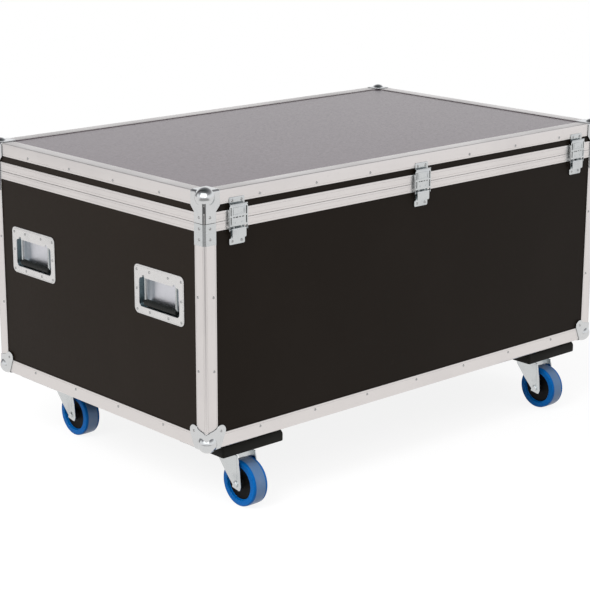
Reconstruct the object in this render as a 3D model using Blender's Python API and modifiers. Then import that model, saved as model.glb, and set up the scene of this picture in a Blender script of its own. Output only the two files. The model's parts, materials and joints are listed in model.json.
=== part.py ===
# Road case on four castors: plywood panels in aluminium edging, a hinged lid,
# three draw latches, four recessed handles. Metres, +Z up, front towards -Y.
import bpy
import bmesh
from math import acos, cos, degrees, radians, sin
from mathutils import Matrix, Vector

# Overall case, without castors
CASE_LENGTH = 1.200
CASE_WIDTH = 0.734
BASE_HEIGHT = 0.465
LID_HEIGHT = 0.063

# Small distances between pieces
TOUCH = 0.0003
SEAM_GAP = 0.0005
RUNNING = 0.0003

# Plywood and aluminium edging
PLY = 0.009
EDGING = 0.0018
BOTTOM_LEG = 0.032
POST_LEG = 0.030
LID_LEG = 0.029
TOP_LEG = 0.030

# Closure profile round the seam
BAND_LOWER = 0.018
BAND_UPPER = 0.0205
LIP = 0.0015
LOWER_WEB = 0.002
TONGUE_HEIGHT = 0.003
TONGUE_WIDTH = 0.003
TONGUE_CLEARANCE = 0.0012
GROOVE_ROOF = 0.0017

# Ball corners and braces
BALL_RADIUS = 0.020
BALL_INSET = 0.0125
CORNER_PLATE = 0.0016
EAR_RADIUS = 0.013
EAR_INSET = 0.037
SKIRT_RADIUS = 0.026
LID_CORNER_LEG = 0.029
LID_CORNER_WING = 0.039
WING_LOW = 0.022
WING_HIGH = 0.033
BRACE_HEIGHT = 0.044

# Castor boards and castors
BOARD_LENGTH = 0.164
BOARD_WIDTH = 0.144
BOARD_THICKNESS = 0.027
BOARD_ROUND = 0.013
BOARD_CORNER = 0.005
BOARD_TIP = 0.001
BOARD_TURNS = (0, 30, 60, 90)
SWIVEL_FROM_END = 0.129
SWIVEL_FROM_SIDE = 0.077
WHEEL_RADIUS = 0.050
TYRE_WIDTH = 0.038
WEB_WIDTH = 0.027
RIM_RADIUS = 0.037
WEB_STEP = 0.002
HUB_LENGTH = 0.044
HUB_RADIUS = 0.010
HUB_FOOT_RADIUS = 0.013
HUB_CLEARANCE = 0.0006
AXLE_RADIUS = 0.004
TRAIL = 0.045
CASTOR_PLATE_LENGTH = 0.105
CASTOR_PLATE_WIDTH = 0.085
CASTOR_PLATE_THICKNESS = 0.003
CASTOR_PLATE_CORNER = 0.016
RACE_RADIUS = 0.024
RACE_HEIGHT = 0.010
FORK_SHEET = 0.003
CROWN_FRONT = 0.048
CROWN_CLEARANCE = 0.0097
FORK_TIP = 0.0135
FORK_REAR = 0.014
SWIVEL_CAP_RADIUS = 0.011
BOLT_RADIUS = 0.007
BOLT_HEAD = 0.004
BOLT_SEAT = 0.001

# Latches
LATCH_FROM_END = 0.082
LATCH_SHEET = 0.0012
LATCH_FOOT_WIDTH = 0.040
LATCH_FOOT_BELOW = 0.0505
LATCH_TOP_BELOW = 0.0024
LATCH_EAR_HALF = 0.0155
LATCH_EAR_MARGIN = 0.0015
PIN_RADIUS = 0.001
EYE_WALL = 0.0009
LEVER_PIN_BELOW = 0.012
LOOP_PIN_BELOW = 0.020
OVER_CENTRE = 0.0011
LEVER_WIDTH = 0.039
LEVER_BELOW = 0.037
LEVER_TOP_BELOW = 0.017
LEVER_GAP = 0.0006
CHEEK_MARGIN = 0.0017
LOOP_SIDE_GAP = 0.0018
LOOP_BELOW = 0.013
LOOP_ABOVE = 0.0295
LUG_MARGIN = 0.0019
HOOK_BAR_RADIUS = 0.0017
HOOK_BAR_HEIGHT = 0.030
KEEPER_WIDTH = 0.039
KEEPER_LOW = 0.0275
KEEPER_HIGH = 0.044
KEEPER_LIP_HEIGHT = 0.0025
KEEPER_CLEARANCE = 0.0007

# Recessed handles
HANDLE_FROM_SIDE = 0.146
HANDLE_CENTRE_HEIGHT = 0.2955
HANDLE_WIDTH = 0.160
HANDLE_HEIGHT = 0.103
HANDLE_CORNER = 0.012
HANDLE_SHEET = 0.0015
OPENING_WIDTH = 0.130
OPENING_BELOW = 0.036
OPENING_ABOVE = 0.0255
OPENING_CORNER = 0.006
PAN_DEPTH = 0.020
PAN_MARGIN = 0.002
PAN_HEADROOM = 0.0022
PIVOT_DEPTH = 0.007
PIVOT_HEIGHT = 0.028
BAIL_WIRE = 0.0033
BAIL_BEND = 0.0053
BAIL_HALF = 0.050
GRIP_RADIUS = 0.007
GRIP_OVERHANG = 0.002
GRIP_GAP = 0.002
SLOT_MARGIN = 0.0009
CUTOUT_MARGIN = 0.001

# Rear hinges
HINGE_FROM_END = 0.300
HINGE_WIDTH = 0.080
HINGE_LEAF = 0.034
HINGE_SHEET = 0.002
KNUCKLE_RADIUS = 0.0042
KNUCKLE_MIDDLE = 0.027
KNUCKLE_GAP = 0.0005
HINGE_PIN = 0.0018

# How finely round shapes are cut
ROUND_SEGMENTS = 16
PIN_SEGMENTS = 10
BALL_RINGS = 10
WHEEL_SEGMENTS = 24
TREAD_TURNS = (30, 60, 80)
TREAD_CROWN = 0.15

# Sizes worked out from those above
CASTOR_HEIGHT = (
    2 * WHEEL_RADIUS + CROWN_CLEARANCE + FORK_SHEET + TOUCH + RACE_HEIGHT
    + CASTOR_PLATE_THICKNESS)
FORK_INNER = HUB_LENGTH / 2 + HUB_CLEARANCE
FORK_OUTER = FORK_INNER + FORK_SHEET
LATCH_OUT = TOUCH + LATCH_SHEET
EYE_RADIUS = PIN_RADIUS + EYE_WALL
LEVER_PIN_OUT = LATCH_OUT + RUNNING + EYE_RADIUS
LOOP_PIN_OUT = LEVER_PIN_OUT + OVER_CENTRE
LOOP_FACE = LOOP_PIN_OUT + PIN_RADIUS + LATCH_SHEET
LEVER_FACE = LOOP_FACE + LEVER_GAP + LATCH_SHEET
LOOP_WIDTH = LEVER_WIDTH + 2 * (LOOP_SIDE_GAP + LATCH_SHEET)
HOOK_BAR_OUT = LOOP_FACE - LATCH_SHEET / 2
KEEPER_LIP_OUT = HOOK_BAR_OUT - HOOK_BAR_RADIUS - KEEPER_CLEARANCE
PAN_HALF = OPENING_WIDTH / 2 + PAN_MARGIN
PAN_TOP = PIVOT_HEIGHT + BAIL_WIRE + PAN_HEADROOM + HANDLE_SHEET
BAIL_DROP = PIVOT_HEIGHT + OPENING_BELOW - GRIP_GAP - GRIP_RADIUS
HINGE_OUT = TOUCH + HINGE_SHEET + RUNNING + KNUCKLE_RADIUS

# The case is centred between what stands out in front, a wheel or a latch, and the hinges
FRONT_REACH = max(WHEEL_RADIUS + TRAIL - SWIVEL_FROM_SIDE, LEVER_FACE)
BACK_REACH = HINGE_OUT + KNUCKLE_RADIUS
LEFT = -CASE_LENGTH / 2
RIGHT = CASE_LENGTH / 2
FRONT = (FRONT_REACH - BACK_REACH - CASE_WIDTH) / 2
BACK = FRONT + CASE_WIDTH
BOTTOM = CASTOR_HEIGHT + BOARD_THICKNESS + 2 * TOUCH
SEAM = BOTTOM + BASE_HEIGHT
TOP = SEAM + LID_HEIGHT
SEAM_LOW = SEAM - SEAM_GAP / 2
SEAM_HIGH = SEAM + SEAM_GAP / 2
PANEL_IN = EDGING + TOUCH
POCKET_IN = PANEL_IN + PLY + TOUCH
RING_IN = POCKET_IN + LIP
BAND_BOTTOM = SEAM - BAND_LOWER
BAND_TOP = SEAM + BAND_UPPER
PLATE_OUT = TOUCH + CORNER_PLATE
UPPER_WEB = TONGUE_HEIGHT + SEAM_GAP + GROOVE_ROOF
REACH = 0.05
MERGE = 0.00001
HINGE_POINT = (0, BACK + HINGE_OUT, SEAM)

ENDS = {"left": -1, "right": 1}
SIDES = {"front": -1, "back": 1}

for old in list(bpy.data.objects):
    bpy.data.objects.remove(old, do_unlink=True)

parts = bpy.data.collections.new("flight_case")
tools = bpy.data.collections.new("cutters")
bpy.context.scene.collection.children.link(parts)
bpy.context.scene.collection.children.link(tools)


def finish_material(name, color, roughness, metallic):
    made = bpy.data.materials.new(name)
    made.use_nodes = True
    shader = made.node_tree.nodes["Principled BSDF"]
    shader.inputs["Base Color"].default_value = (*color, 1.0)
    shader.inputs["Roughness"].default_value = roughness
    shader.inputs["Metallic"].default_value = metallic
    return made


LAMINATE = finish_material("laminate", (0.017, 0.013, 0.011), 0.35, 0.0)
BOARD = finish_material("board", (0.010, 0.010, 0.010), 0.6, 0.0)
ALUMINIUM = finish_material("aluminium", (0.75, 0.73, 0.72), 0.35, 1.0)
ZINC = finish_material("zinc", (0.60, 0.65, 0.67), 0.25, 1.0)
GRIP = finish_material("grip", (0.012, 0.012, 0.012), 0.6, 0.0)
WHEEL = finish_material("wheel", (0.02, 0.15, 0.50), 0.45, 0.0)


def add_object(name, mesh, collection=tools):
    made = bpy.data.objects.new(name, mesh)
    collection.objects.link(made)
    if collection is tools:
        made.hide_render = True
        made.display_type = "WIRE"
    return made


def mesh_from(name, shape, smooth=False):
    mesh = bpy.data.meshes.new(name)
    shape.to_mesh(mesh)
    shape.free()
    if smooth:
        mesh.shade_smooth()
        mesh.set_sharp_from_angle(angle=radians(35))
    return add_object(name, mesh)


def box(name, x, y, z):
    centre = Vector(((x[0] + x[1]) / 2, (y[0] + y[1]) / 2, (z[0] + z[1]) / 2))
    size = (abs(x[1] - x[0]), abs(y[1] - y[0]), abs(z[1] - z[0]), 1)
    shape = bmesh.new()
    bmesh.ops.create_cube(shape, size=1, matrix=Matrix.Translation(centre) @ Matrix.Diagonal(size))
    return mesh_from(name, shape)


def cylinder(name, start, end, radius, segments=ROUND_SEGMENTS):
    start = Vector(start)
    end = Vector(end)
    along = end - start
    turn = along.to_track_quat("Z", "Y").to_matrix().to_4x4()
    shape = bmesh.new()
    bmesh.ops.create_cone(
        shape, cap_ends=True, segments=segments, radius1=radius, radius2=radius,
        depth=along.length, matrix=Matrix.Translation((start + end) / 2) @ turn)
    return mesh_from(name, shape, smooth=True)


def ball(name, centre, radius):
    shape = bmesh.new()
    bmesh.ops.create_uvsphere(
        shape, u_segments=ROUND_SEGMENTS, v_segments=BALL_RINGS, radius=radius,
        matrix=Matrix.Translation(centre))
    return mesh_from(name, shape, smooth=True)


# How a flat outline stands: its own x and y run along these axes, its thickness along the last
PLANES = {
    "XY": Matrix.Identity(4),
    "XZ": Matrix(((1, 0, 0, 0), (0, 0, -1, 0), (0, 1, 0, 0), (0, 0, 0, 1))),
    "YZ": Matrix(((0, 0, 1, 0), (1, 0, 0, 0), (0, 1, 0, 0), (0, 0, 0, 1))),
}


def curve_to_solid(curve):
    bpy.context.view_layer.update()
    evaluated = curve.evaluated_get(bpy.context.evaluated_depsgraph_get())
    mesh = bpy.data.meshes.new_from_object(evaluated)
    mesh.transform(curve.matrix_world)
    shape = bmesh.new()
    shape.from_mesh(mesh)
    bmesh.ops.remove_doubles(shape, verts=shape.verts, dist=MERGE)
    bmesh.ops.recalc_face_normals(shape, faces=shape.faces)
    name = curve.name
    bpy.data.objects.remove(curve, do_unlink=True)
    return mesh_from(name, shape, smooth=True)


def plate(name, outline, plane, low, high):
    """A flat outline given thickness from low to high across its plane."""
    flat = bpy.data.curves.new(name, "CURVE")
    flat.dimensions = "2D"
    flat.fill_mode = "BOTH"
    flat.extrude = abs(high - low) / 2
    line = flat.splines.new("POLY")
    line.points.add(len(outline) - 1)
    for point, (u, v) in zip(line.points, outline):
        point.co = (u, v, 0, 1)
    line.use_cyclic_u = True
    made = add_object(name, flat)
    middle = (low + high) / 2
    shift = {"XY": (0, 0, middle), "XZ": (0, middle, 0), "YZ": (middle, 0, 0)}[plane]
    made.matrix_world = Matrix.Translation(shift) @ PLANES[plane]
    return curve_to_solid(made)


def arc(centre, radius, start, end, steps):
    """Points of an arc, from one angle to the other in degrees."""
    turns = [radians(start + (end - start) * i / steps) for i in range(steps + 1)]
    return [(centre[0] + radius * cos(t), centre[1] + radius * sin(t)) for t in turns]


def rounded_rectangle(u, v, radius, steps=3):
    low_u, high_u = min(u), max(u)
    low_v, high_v = min(v), max(v)
    return (
        arc((high_u - radius, high_v - radius), radius, 0, 90, steps)
        + arc((low_u + radius, high_v - radius), radius, 90, 180, steps)
        + arc((low_u + radius, low_v + radius), radius, 180, 270, steps)
        + arc((high_u - radius, low_v + radius), radius, 270, 360, steps))


def boolean(target, others, operation):
    for other in others:
        step = target.modifiers.new(operation.lower(), "BOOLEAN")
        step.operation = operation
        step.solver = "EXACT"
        step.object = other
    return target


def join(target, *others):
    return boolean(target, others, "UNION")


def cut(target, *others):
    return boolean(target, others, "DIFFERENCE")


def keep_inside(target, other):
    return boolean(target, [other], "INTERSECT")


def as_part(made, name, material, origin=None):
    """Turn a built shape into a named part, its origin on its joint's axis if it has one."""
    tools.objects.unlink(made)
    parts.objects.link(made)
    made.hide_render = False
    made.display_type = "TEXTURED"
    made.name = name
    made.data.name = name
    made.data.materials.clear()
    made.data.materials.append(material)
    if origin is not None:
        made.data.transform(Matrix.Translation(-Vector(origin)))
        made.location = origin
    return made


def ring(name, outer, inner, low, high):
    """A rectangular ring that follows the case's outline, between two insets."""
    body = box(
        name, (LEFT + outer, RIGHT - outer), (FRONT + outer, BACK - outer), (low, high))
    hole = box(
        name + "_hole", (LEFT + inner, RIGHT - inner), (FRONT + inner, BACK - inner),
        (low - REACH, high + REACH))
    return cut(body, hole)


class Corner:
    """One upright corner of the case: distances run inwards from its two faces."""

    def __init__(self, end, side):
        self.name = side + "_" + end
        self.end = ENDS[end]
        self.side = SIDES[side]

    def x(self, inset):
        return self.end * (CASE_LENGTH / 2 - inset)

    def y(self, inset):
        return FRONT + inset if self.side < 0 else BACK - inset

    def box(self, name, x, y, z):
        return box(name, (self.x(x[0]), self.x(x[1])), (self.y(y[0]), self.y(y[1])), z)


CORNERS = [Corner(end, side) for end in ENDS for side in SIDES]


# Plywood panels

def make_panels():
    under = BOTTOM + PANEL_IN
    wall = (under, SEAM_LOW - LOWER_WEB - TOUCH)
    across = (LEFT + PANEL_IN, RIGHT - PANEL_IN)
    floor = box(
        "floor", (LEFT + POCKET_IN, RIGHT - POCKET_IN), (FRONT + POCKET_IN, BACK - POCKET_IN),
        (under, under + PLY))
    as_part(floor, "bottom_panel", LAMINATE)
    front = box("front", across, (FRONT + PANEL_IN, FRONT + PANEL_IN + PLY), wall)
    as_part(front, "front_panel", LAMINATE)
    back = box("back", across, (BACK - PANEL_IN - PLY, BACK - PANEL_IN), wall)
    as_part(back, "back_panel", LAMINATE)
    depth = (FRONT + PANEL_IN + PLY + TOUCH, BACK - PANEL_IN - PLY - TOUCH)
    for end, sign in ENDS.items():
        outside = sign * (RIGHT - PANEL_IN)
        panel = box("end", (outside, outside - sign * PLY), depth, wall)
        for side in SIDES:
            handle = Handle(end, side)
            cut(panel, handle.cutout())
        as_part(panel, end + "_end_panel", LAMINATE)


# Aluminium edging of the base: the bottom rails and the four posts

def make_base_edging():
    post_top = BAND_BOTTOM - TOUCH
    shell = box("edging", (LEFT, RIGHT), (FRONT, BACK), (BOTTOM, post_top))
    inside = box(
        "edging_inside", (LEFT + EDGING, RIGHT - EDGING), (FRONT + EDGING, BACK - EDGING),
        (BOTTOM + EDGING, SEAM))
    window_height = (BOTTOM + BOTTOM_LEG, SEAM)
    front_window = box(
        "front_window", (LEFT + POST_LEG, RIGHT - POST_LEG), (FRONT - REACH, BACK + REACH),
        window_height)
    end_window = box(
        "end_window", (LEFT - REACH, RIGHT + REACH), (FRONT + POST_LEG, BACK - POST_LEG),
        window_height)
    floor_window = box(
        "floor_window", (LEFT + BOTTOM_LEG, RIGHT - BOTTOM_LEG),
        (FRONT + BOTTOM_LEG, BACK - BOTTOM_LEG), (BOTTOM - REACH, BOTTOM + REACH))
    cut(shell, inside, front_window, end_window, floor_window)
    as_part(shell, "base_edging_frame", ALUMINIUM)


# Closure profiles: a tongue on the base runs in a groove under the lid

def brace(corner):
    low = SEAM - BRACE_HEIGHT
    leg = LID_CORNER_LEG
    body = corner.box("brace", (-PLATE_OUT, leg), (-PLATE_OUT, leg), (low, SEAM_LOW - TOUCH))
    below = corner.box(
        "brace_below", (-TOUCH, REACH), (-TOUCH, REACH), (low - REACH, BAND_BOTTOM))
    behind = corner.box(
        "brace_behind", (EDGING / 2, REACH), (EDGING / 2, REACH), (low - REACH, SEAM + REACH))
    return cut(body, below, behind)


def make_lower_closure():
    frame = ring("lower_closure", 0, RING_IN, BAND_BOTTOM, SEAM_LOW)
    pocket = ring("lower_pocket", EDGING, POCKET_IN, BAND_BOTTOM - REACH, SEAM_LOW - LOWER_WEB)
    middle = (EDGING + POCKET_IN) / 2
    tongue = ring(
        "tongue", middle - TONGUE_WIDTH / 2, middle + TONGUE_WIDTH / 2,
        SEAM_LOW - LOWER_WEB / 2, SEAM_LOW + TONGUE_HEIGHT)
    cut(frame, pocket)
    join(frame, tongue, *[brace(corner) for corner in CORNERS])
    as_part(frame, "lower_closure_frame", ALUMINIUM)


def make_upper_closure():
    frame = ring("upper_closure", 0, RING_IN, SEAM_HIGH, BAND_TOP)
    pocket = ring("upper_pocket", EDGING, POCKET_IN, SEAM_HIGH + UPPER_WEB, BAND_TOP + REACH)
    middle = (EDGING + POCKET_IN) / 2
    half = TONGUE_WIDTH / 2 + TONGUE_CLEARANCE
    groove = ring(
        "groove", middle - half, middle + half, SEAM_HIGH - REACH,
        SEAM_HIGH + UPPER_WEB - GROOVE_ROOF)
    cut(frame, pocket, groove)
    return as_part(frame, "upper_closure_frame", ALUMINIUM, HINGE_POINT)


# Lid: walls, top panel and the edging round its top

def make_lid():
    under_top = TOP - PANEL_IN - PLY
    walls = ring(
        "walls", PANEL_IN, PANEL_IN + PLY, SEAM_HIGH + UPPER_WEB + TOUCH, under_top - TOUCH)
    top = box(
        "top", (LEFT + PANEL_IN, RIGHT - PANEL_IN), (FRONT + PANEL_IN, BACK - PANEL_IN),
        (under_top, TOP - PANEL_IN))
    rail = box("rail", (LEFT, RIGHT), (FRONT, BACK), (TOP - LID_LEG, TOP))
    inside = box(
        "rail_inside", (LEFT + EDGING, RIGHT - EDGING), (FRONT + EDGING, BACK - EDGING),
        (TOP - LID_LEG - REACH, TOP - EDGING))
    window = box(
        "rail_window", (LEFT + TOP_LEG, RIGHT - TOP_LEG), (FRONT + TOP_LEG, BACK - TOP_LEG),
        (TOP - REACH, TOP + REACH))
    cut(rail, inside, window)
    return [
        as_part(walls, "lid_walls", LAMINATE, HINGE_POINT),
        as_part(top, "lid_top_panel", LAMINATE, HINGE_POINT),
        as_part(rail, "lid_edging", ALUMINIUM, HINGE_POINT)]


def make_lid_corner(corner):
    high = TOP + PLATE_OUT
    wing = LID_CORNER_WING
    cap = corner.box("cap", (-PLATE_OUT, wing), (-PLATE_OUT, wing), (SEAM_HIGH, high))
    centre = (corner.x(BALL_INSET), corner.y(BALL_INSET), TOP - BALL_INSET)
    inside = corner.box("cap_inside", (-TOUCH, 2 * REACH), (-TOUCH, 2 * REACH), (0, TOP + TOUCH))
    slope = [
        (LID_CORNER_LEG, 0), (LID_CORNER_LEG, SEAM + WING_LOW),
        (wing, SEAM + WING_HIGH), (wing + REACH, SEAM + WING_HIGH), (wing + REACH, 0)]
    face_y = sorted((corner.y(-REACH), corner.y(-TOUCH / 2)))
    face_x = sorted((corner.x(-REACH), corner.x(-TOUCH / 2)))
    front_cut = plate("wing_cut", [(corner.x(u), v) for u, v in slope], "XZ", *face_y)
    end_cut = plate("wing_cut", [(corner.y(u), v) for u, v in slope], "YZ", *face_x)
    join(cap, ball("lid_ball", centre, BALL_RADIUS))
    cut(cap, inside, front_cut, end_cut)
    return as_part(cap, "lid_corner_" + corner.name, ZINC, HINGE_POINT)


# Bottom ball corners: a ball with an ear on each upright face

def ear_outline():
    """The outline round the skirt circle and the ear circle, along the diagonal of a face."""
    apart = (EAR_INSET - BALL_INSET) * 2 ** 0.5
    tangent = degrees(acos((SKIRT_RADIUS - EAR_RADIUS) / apart))
    ear = arc((EAR_INSET, EAR_INSET), EAR_RADIUS, 45 - tangent, 45 + tangent, 5)
    skirt = arc((BALL_INSET, BALL_INSET), SKIRT_RADIUS, 45 + tangent, 405 - tangent, 8)
    return ear + skirt


def make_base_corner(corner):
    outline = ear_outline()
    face_y = sorted((corner.y(-PLATE_OUT - REACH), corner.y(EDGING)))
    face_x = sorted((corner.x(-PLATE_OUT - REACH), corner.x(EDGING)))
    front = plate("ear", [(corner.x(u), BOTTOM + v) for u, v in outline], "XZ", *face_y)
    end = plate("ear", [(corner.y(u), BOTTOM + v) for u, v in outline], "YZ", *face_x)
    under = cylinder(
        "under", (corner.x(BALL_INSET), corner.y(BALL_INSET), BOTTOM - REACH),
        (corner.x(BALL_INSET), corner.y(BALL_INSET), BOTTOM + EDGING), SKIRT_RADIUS)
    envelope = corner.box(
        "envelope", (-PLATE_OUT, 2 * REACH), (-PLATE_OUT, 2 * REACH),
        (BOTTOM - PLATE_OUT, BOTTOM + 2 * REACH))
    inside = corner.box(
        "inside", (-TOUCH, 3 * REACH), (-TOUCH, 3 * REACH), (BOTTOM - TOUCH, SEAM))
    centre = (corner.x(BALL_INSET), corner.y(BALL_INSET), BOTTOM + BALL_INSET)
    join(front, end, under)
    keep_inside(front, envelope)
    join(front, ball("base_ball", centre, BALL_RADIUS))
    cut(front, inside)
    as_part(front, "base_corner_" + corner.name, ZINC)


# Castors: board, plate with its ball race, fork with its axle, wheel

def rounded_board(name, x, y, z):
    """A board with rounded upright corners and a rounded top rim, built ring by ring."""
    levels = [(0, z[0])]
    for turn in BOARD_TURNS:
        levels.append((
            BOARD_ROUND * (1 - cos(radians(turn))), z[1] - BOARD_ROUND * (1 - sin(radians(turn)))))
    shape = bmesh.new()
    rings = []
    for inset, height in levels:
        outline = rounded_rectangle(
            (x[0] + inset, x[1] - inset), (y[0] + inset, y[1] - inset),
            max(BOARD_CORNER - inset, BOARD_TIP))
        rings.append([shape.verts.new((u, v, height)) for u, v in outline])
    for lower, upper in zip(rings, rings[1:]):
        for i in range(len(lower)):
            k = (i + 1) % len(lower)
            shape.faces.new((lower[i], lower[k], upper[k], upper[i]))
    shape.faces.new(list(reversed(rings[0])))
    shape.faces.new(rings[-1])
    return mesh_from(name, shape)


def fork_leg_outline(swivel_y, plate_top):
    """One fork leg seen from the side, from the crown down round the axle."""
    axle = (swivel_y - TRAIL, plate_top - (CASTOR_HEIGHT - WHEEL_RADIUS))
    crown = plate_top - CASTOR_PLATE_THICKNESS - RACE_HEIGHT - TOUCH
    tip = arc(axle, FORK_TIP, 180, 318, 6)
    return [(swivel_y - CROWN_FRONT, crown)] + tip + [
        (swivel_y + FORK_REAR - FORK_SHEET, crown - FORK_REAR),
        (swivel_y + FORK_REAR, crown)]


def wheel_profile():
    """The wheel's section, from the bore out to the crowned tread and back: radius, level."""
    half = TYRE_WIDTH / 2
    shoulder = WHEEL_RADIUS - RIM_RADIUS
    upper = [
        (AXLE_RADIUS + RUNNING, HUB_LENGTH / 2), (HUB_RADIUS, HUB_LENGTH / 2),
        (HUB_FOOT_RADIUS, WEB_WIDTH / 2), (RIM_RADIUS - WEB_STEP, WEB_WIDTH / 2),
        (RIM_RADIUS, half)]
    flattest = sin(radians(TREAD_TURNS[-1]))
    for turn in TREAD_TURNS:
        radius = RIM_RADIUS + shoulder * sin(radians(turn)) / flattest
        upper.append((radius, half * cos(radians(turn)) ** TREAD_CROWN))
    return upper + [(radius, -level) for radius, level in reversed(upper)]


def make_castor(corner):
    x = corner.x(SWIVEL_FROM_END)
    y = corner.y(SWIVEL_FROM_SIDE)
    board_top = BOTTOM - TOUCH
    plate_top = CASTOR_HEIGHT
    board = rounded_board(
        "board", (x - BOARD_LENGTH / 2, x + BOARD_LENGTH / 2),
        (y - BOARD_WIDTH / 2, y + BOARD_WIDTH / 2), (plate_top + TOUCH, board_top))
    as_part(board, "castor_board_" + corner.name, BOARD)

    under_plate = plate_top - CASTOR_PLATE_THICKNESS
    under_race = under_plate - RACE_HEIGHT
    top_plate = plate(
        "top_plate",
        rounded_rectangle(
            (x - CASTOR_PLATE_LENGTH / 2, x + CASTOR_PLATE_LENGTH / 2),
            (y - CASTOR_PLATE_WIDTH / 2, y + CASTOR_PLATE_WIDTH / 2), CASTOR_PLATE_CORNER),
        "XY", under_plate, plate_top)
    join(top_plate, cylinder("race", (x, y, under_race), (x, y, plate_top - TOUCH), RACE_RADIUS))
    as_part(top_plate, "castor_plate_" + corner.name, ZINC)

    crown_top = under_race - TOUCH
    crown_low = crown_top - FORK_SHEET
    crown = plate(
        "crown",
        rounded_rectangle(
            (x - FORK_OUTER, x + FORK_OUTER),
            (y - CROWN_FRONT, y + FORK_REAR), FORK_SHEET, 2),
        "XY", crown_low, crown_top)
    outline = fork_leg_outline(y, plate_top)
    axle_y = y - TRAIL
    axle_z = WHEEL_RADIUS
    for sign in (-1, 1):
        inner = x + sign * FORK_INNER
        outer = x + sign * FORK_OUTER
        join(crown, plate("leg", outline, "YZ", *sorted((inner, outer))))
    bolt_end = FORK_OUTER + BOLT_HEAD
    axle = cylinder(
        "axle", (x - bolt_end, axle_y, axle_z), (x + bolt_end, axle_y, axle_z), AXLE_RADIUS)
    heads = [
        cylinder(
            "bolt_head", (x + sign * (FORK_OUTER - BOLT_SEAT), axle_y, axle_z),
            (x + sign * bolt_end, axle_y, axle_z), BOLT_RADIUS, 6)
        for sign in (-1, 1)]
    pin = cylinder(
        "swivel_cap", (x, y, crown_low - FORK_SHEET), (x, y, crown_top - TOUCH),
        SWIVEL_CAP_RADIUS)
    join(crown, pin, axle, *heads)
    fork = as_part(crown, "castor_fork_" + corner.name, ZINC, (x, y, crown_top))

    profile = bpy.data.meshes.new("wheel_profile")
    points = [(radius, 0, level) for radius, level in wheel_profile()]
    count = len(points)
    profile.from_pydata(points, [(i, (i + 1) % count) for i in range(count)], [])
    wheel = add_object("wheel", profile)
    turned = wheel.modifiers.new("turned", "SCREW")
    turned.steps = WHEEL_SEGMENTS
    turned.render_steps = WHEEL_SEGMENTS
    turned.use_merge_vertices = True
    turned.merge_threshold = MERGE
    turned.use_smooth_shade = True
    as_part(wheel, "castor_wheel_" + corner.name, WHEEL)
    wheel.rotation_euler = (0, radians(90), 0)
    wheel.location = (x, axle_y, axle_z)
    return fork, wheel


# Draw latches: base and lever on the case, keeper on the lid, loop between them

def latch_box(name, x, centre, out, height):
    """A box given by its half width or its two sides, its distances out from the front and its
    heights above the seam."""
    sides = (centre - x, centre + x) if isinstance(x, float) else (centre + x[0], centre + x[1])
    return box(name, sides, (FRONT - out[0], FRONT - out[1]), (SEAM + height[0], SEAM + height[1]))


def latch_rod(name, centre, half, out, height, radius):
    """A round bar along the front, from one side of a latch's centre to the other."""
    y = FRONT - out
    z = SEAM + height
    return cylinder(name, (centre - half, y, z), (centre + half, y, z), radius, PIN_SEGMENTS)


def make_latch_base(name, centre):
    below = -BAND_LOWER - TOUCH
    base = latch_box(
        "foot", LATCH_FOOT_WIDTH / 2, centre, (TOUCH - PANEL_IN, LATCH_OUT),
        (-LATCH_FOOT_BELOW, below))
    upper = latch_box(
        "upper", LATCH_EAR_HALF, centre, (TOUCH, LATCH_OUT),
        (below - LATCH_SHEET, -LATCH_TOP_BELOW))
    margin = PIN_RADIUS + LATCH_EAR_MARGIN
    ears = [
        latch_box(
            "ear", (sign * LATCH_EAR_HALF, sign * (LATCH_EAR_HALF - LATCH_SHEET)), centre,
            (LATCH_OUT - TOUCH, LEVER_PIN_OUT + LATCH_EAR_MARGIN),
            (-LEVER_PIN_BELOW - margin, -LEVER_PIN_BELOW + margin))
        for sign in (-1, 1)]
    pin = latch_rod(
        "lever_pin", centre, LATCH_EAR_HALF - TOUCH, LEVER_PIN_OUT, -LEVER_PIN_BELOW, PIN_RADIUS)
    join(base, upper, *ears, pin)
    as_part(base, "latch_base_" + name, ZINC)


def make_latch_lever(name, centre):
    cheek_half = LATCH_EAR_HALF - LATCH_SHEET - 2 * RUNNING
    eye_side = EYE_RADIUS - RUNNING
    face = latch_box(
        "face", LEVER_WIDTH / 2, centre, (LEVER_FACE - LATCH_SHEET, LEVER_FACE),
        (-LEVER_BELOW, -LEVER_TOP_BELOW))
    for sign in (-1, 1):
        across = (sign * cheek_half, sign * (cheek_half - LATCH_SHEET))
        cheek = latch_box(
            "cheek", across, centre,
            (LOOP_PIN_OUT - PIN_RADIUS, LEVER_FACE - TOUCH),
            (-LOOP_PIN_BELOW - CHEEK_MARGIN, -LEVER_PIN_BELOW - CHEEK_MARGIN))
        strap = latch_box(
            "strap", across, centre, (LEVER_PIN_OUT - eye_side, LEVER_PIN_OUT + eye_side),
            (-LEVER_PIN_BELOW - 2 * CHEEK_MARGIN, -LEVER_PIN_BELOW))
        y = FRONT - LEVER_PIN_OUT
        z = SEAM - LEVER_PIN_BELOW
        eye = cylinder(
            "eye", (centre + across[0], y, z), (centre + across[1], y, z), EYE_RADIUS, PIN_SEGMENTS)
        join(face, cheek, strap, eye)
    cut(face, latch_rod(
        "pin_hole", centre, LATCH_EAR_HALF, LEVER_PIN_OUT, -LEVER_PIN_BELOW, PIN_RADIUS + RUNNING))
    join(face, latch_rod(
        "loop_pin", centre, LOOP_WIDTH / 2 - TOUCH, LOOP_PIN_OUT, -LOOP_PIN_BELOW, PIN_RADIUS))
    axis = (centre, FRONT - LEVER_PIN_OUT, SEAM - LEVER_PIN_BELOW)
    return as_part(face, "latch_lever_" + name, ZINC, axis)


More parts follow.
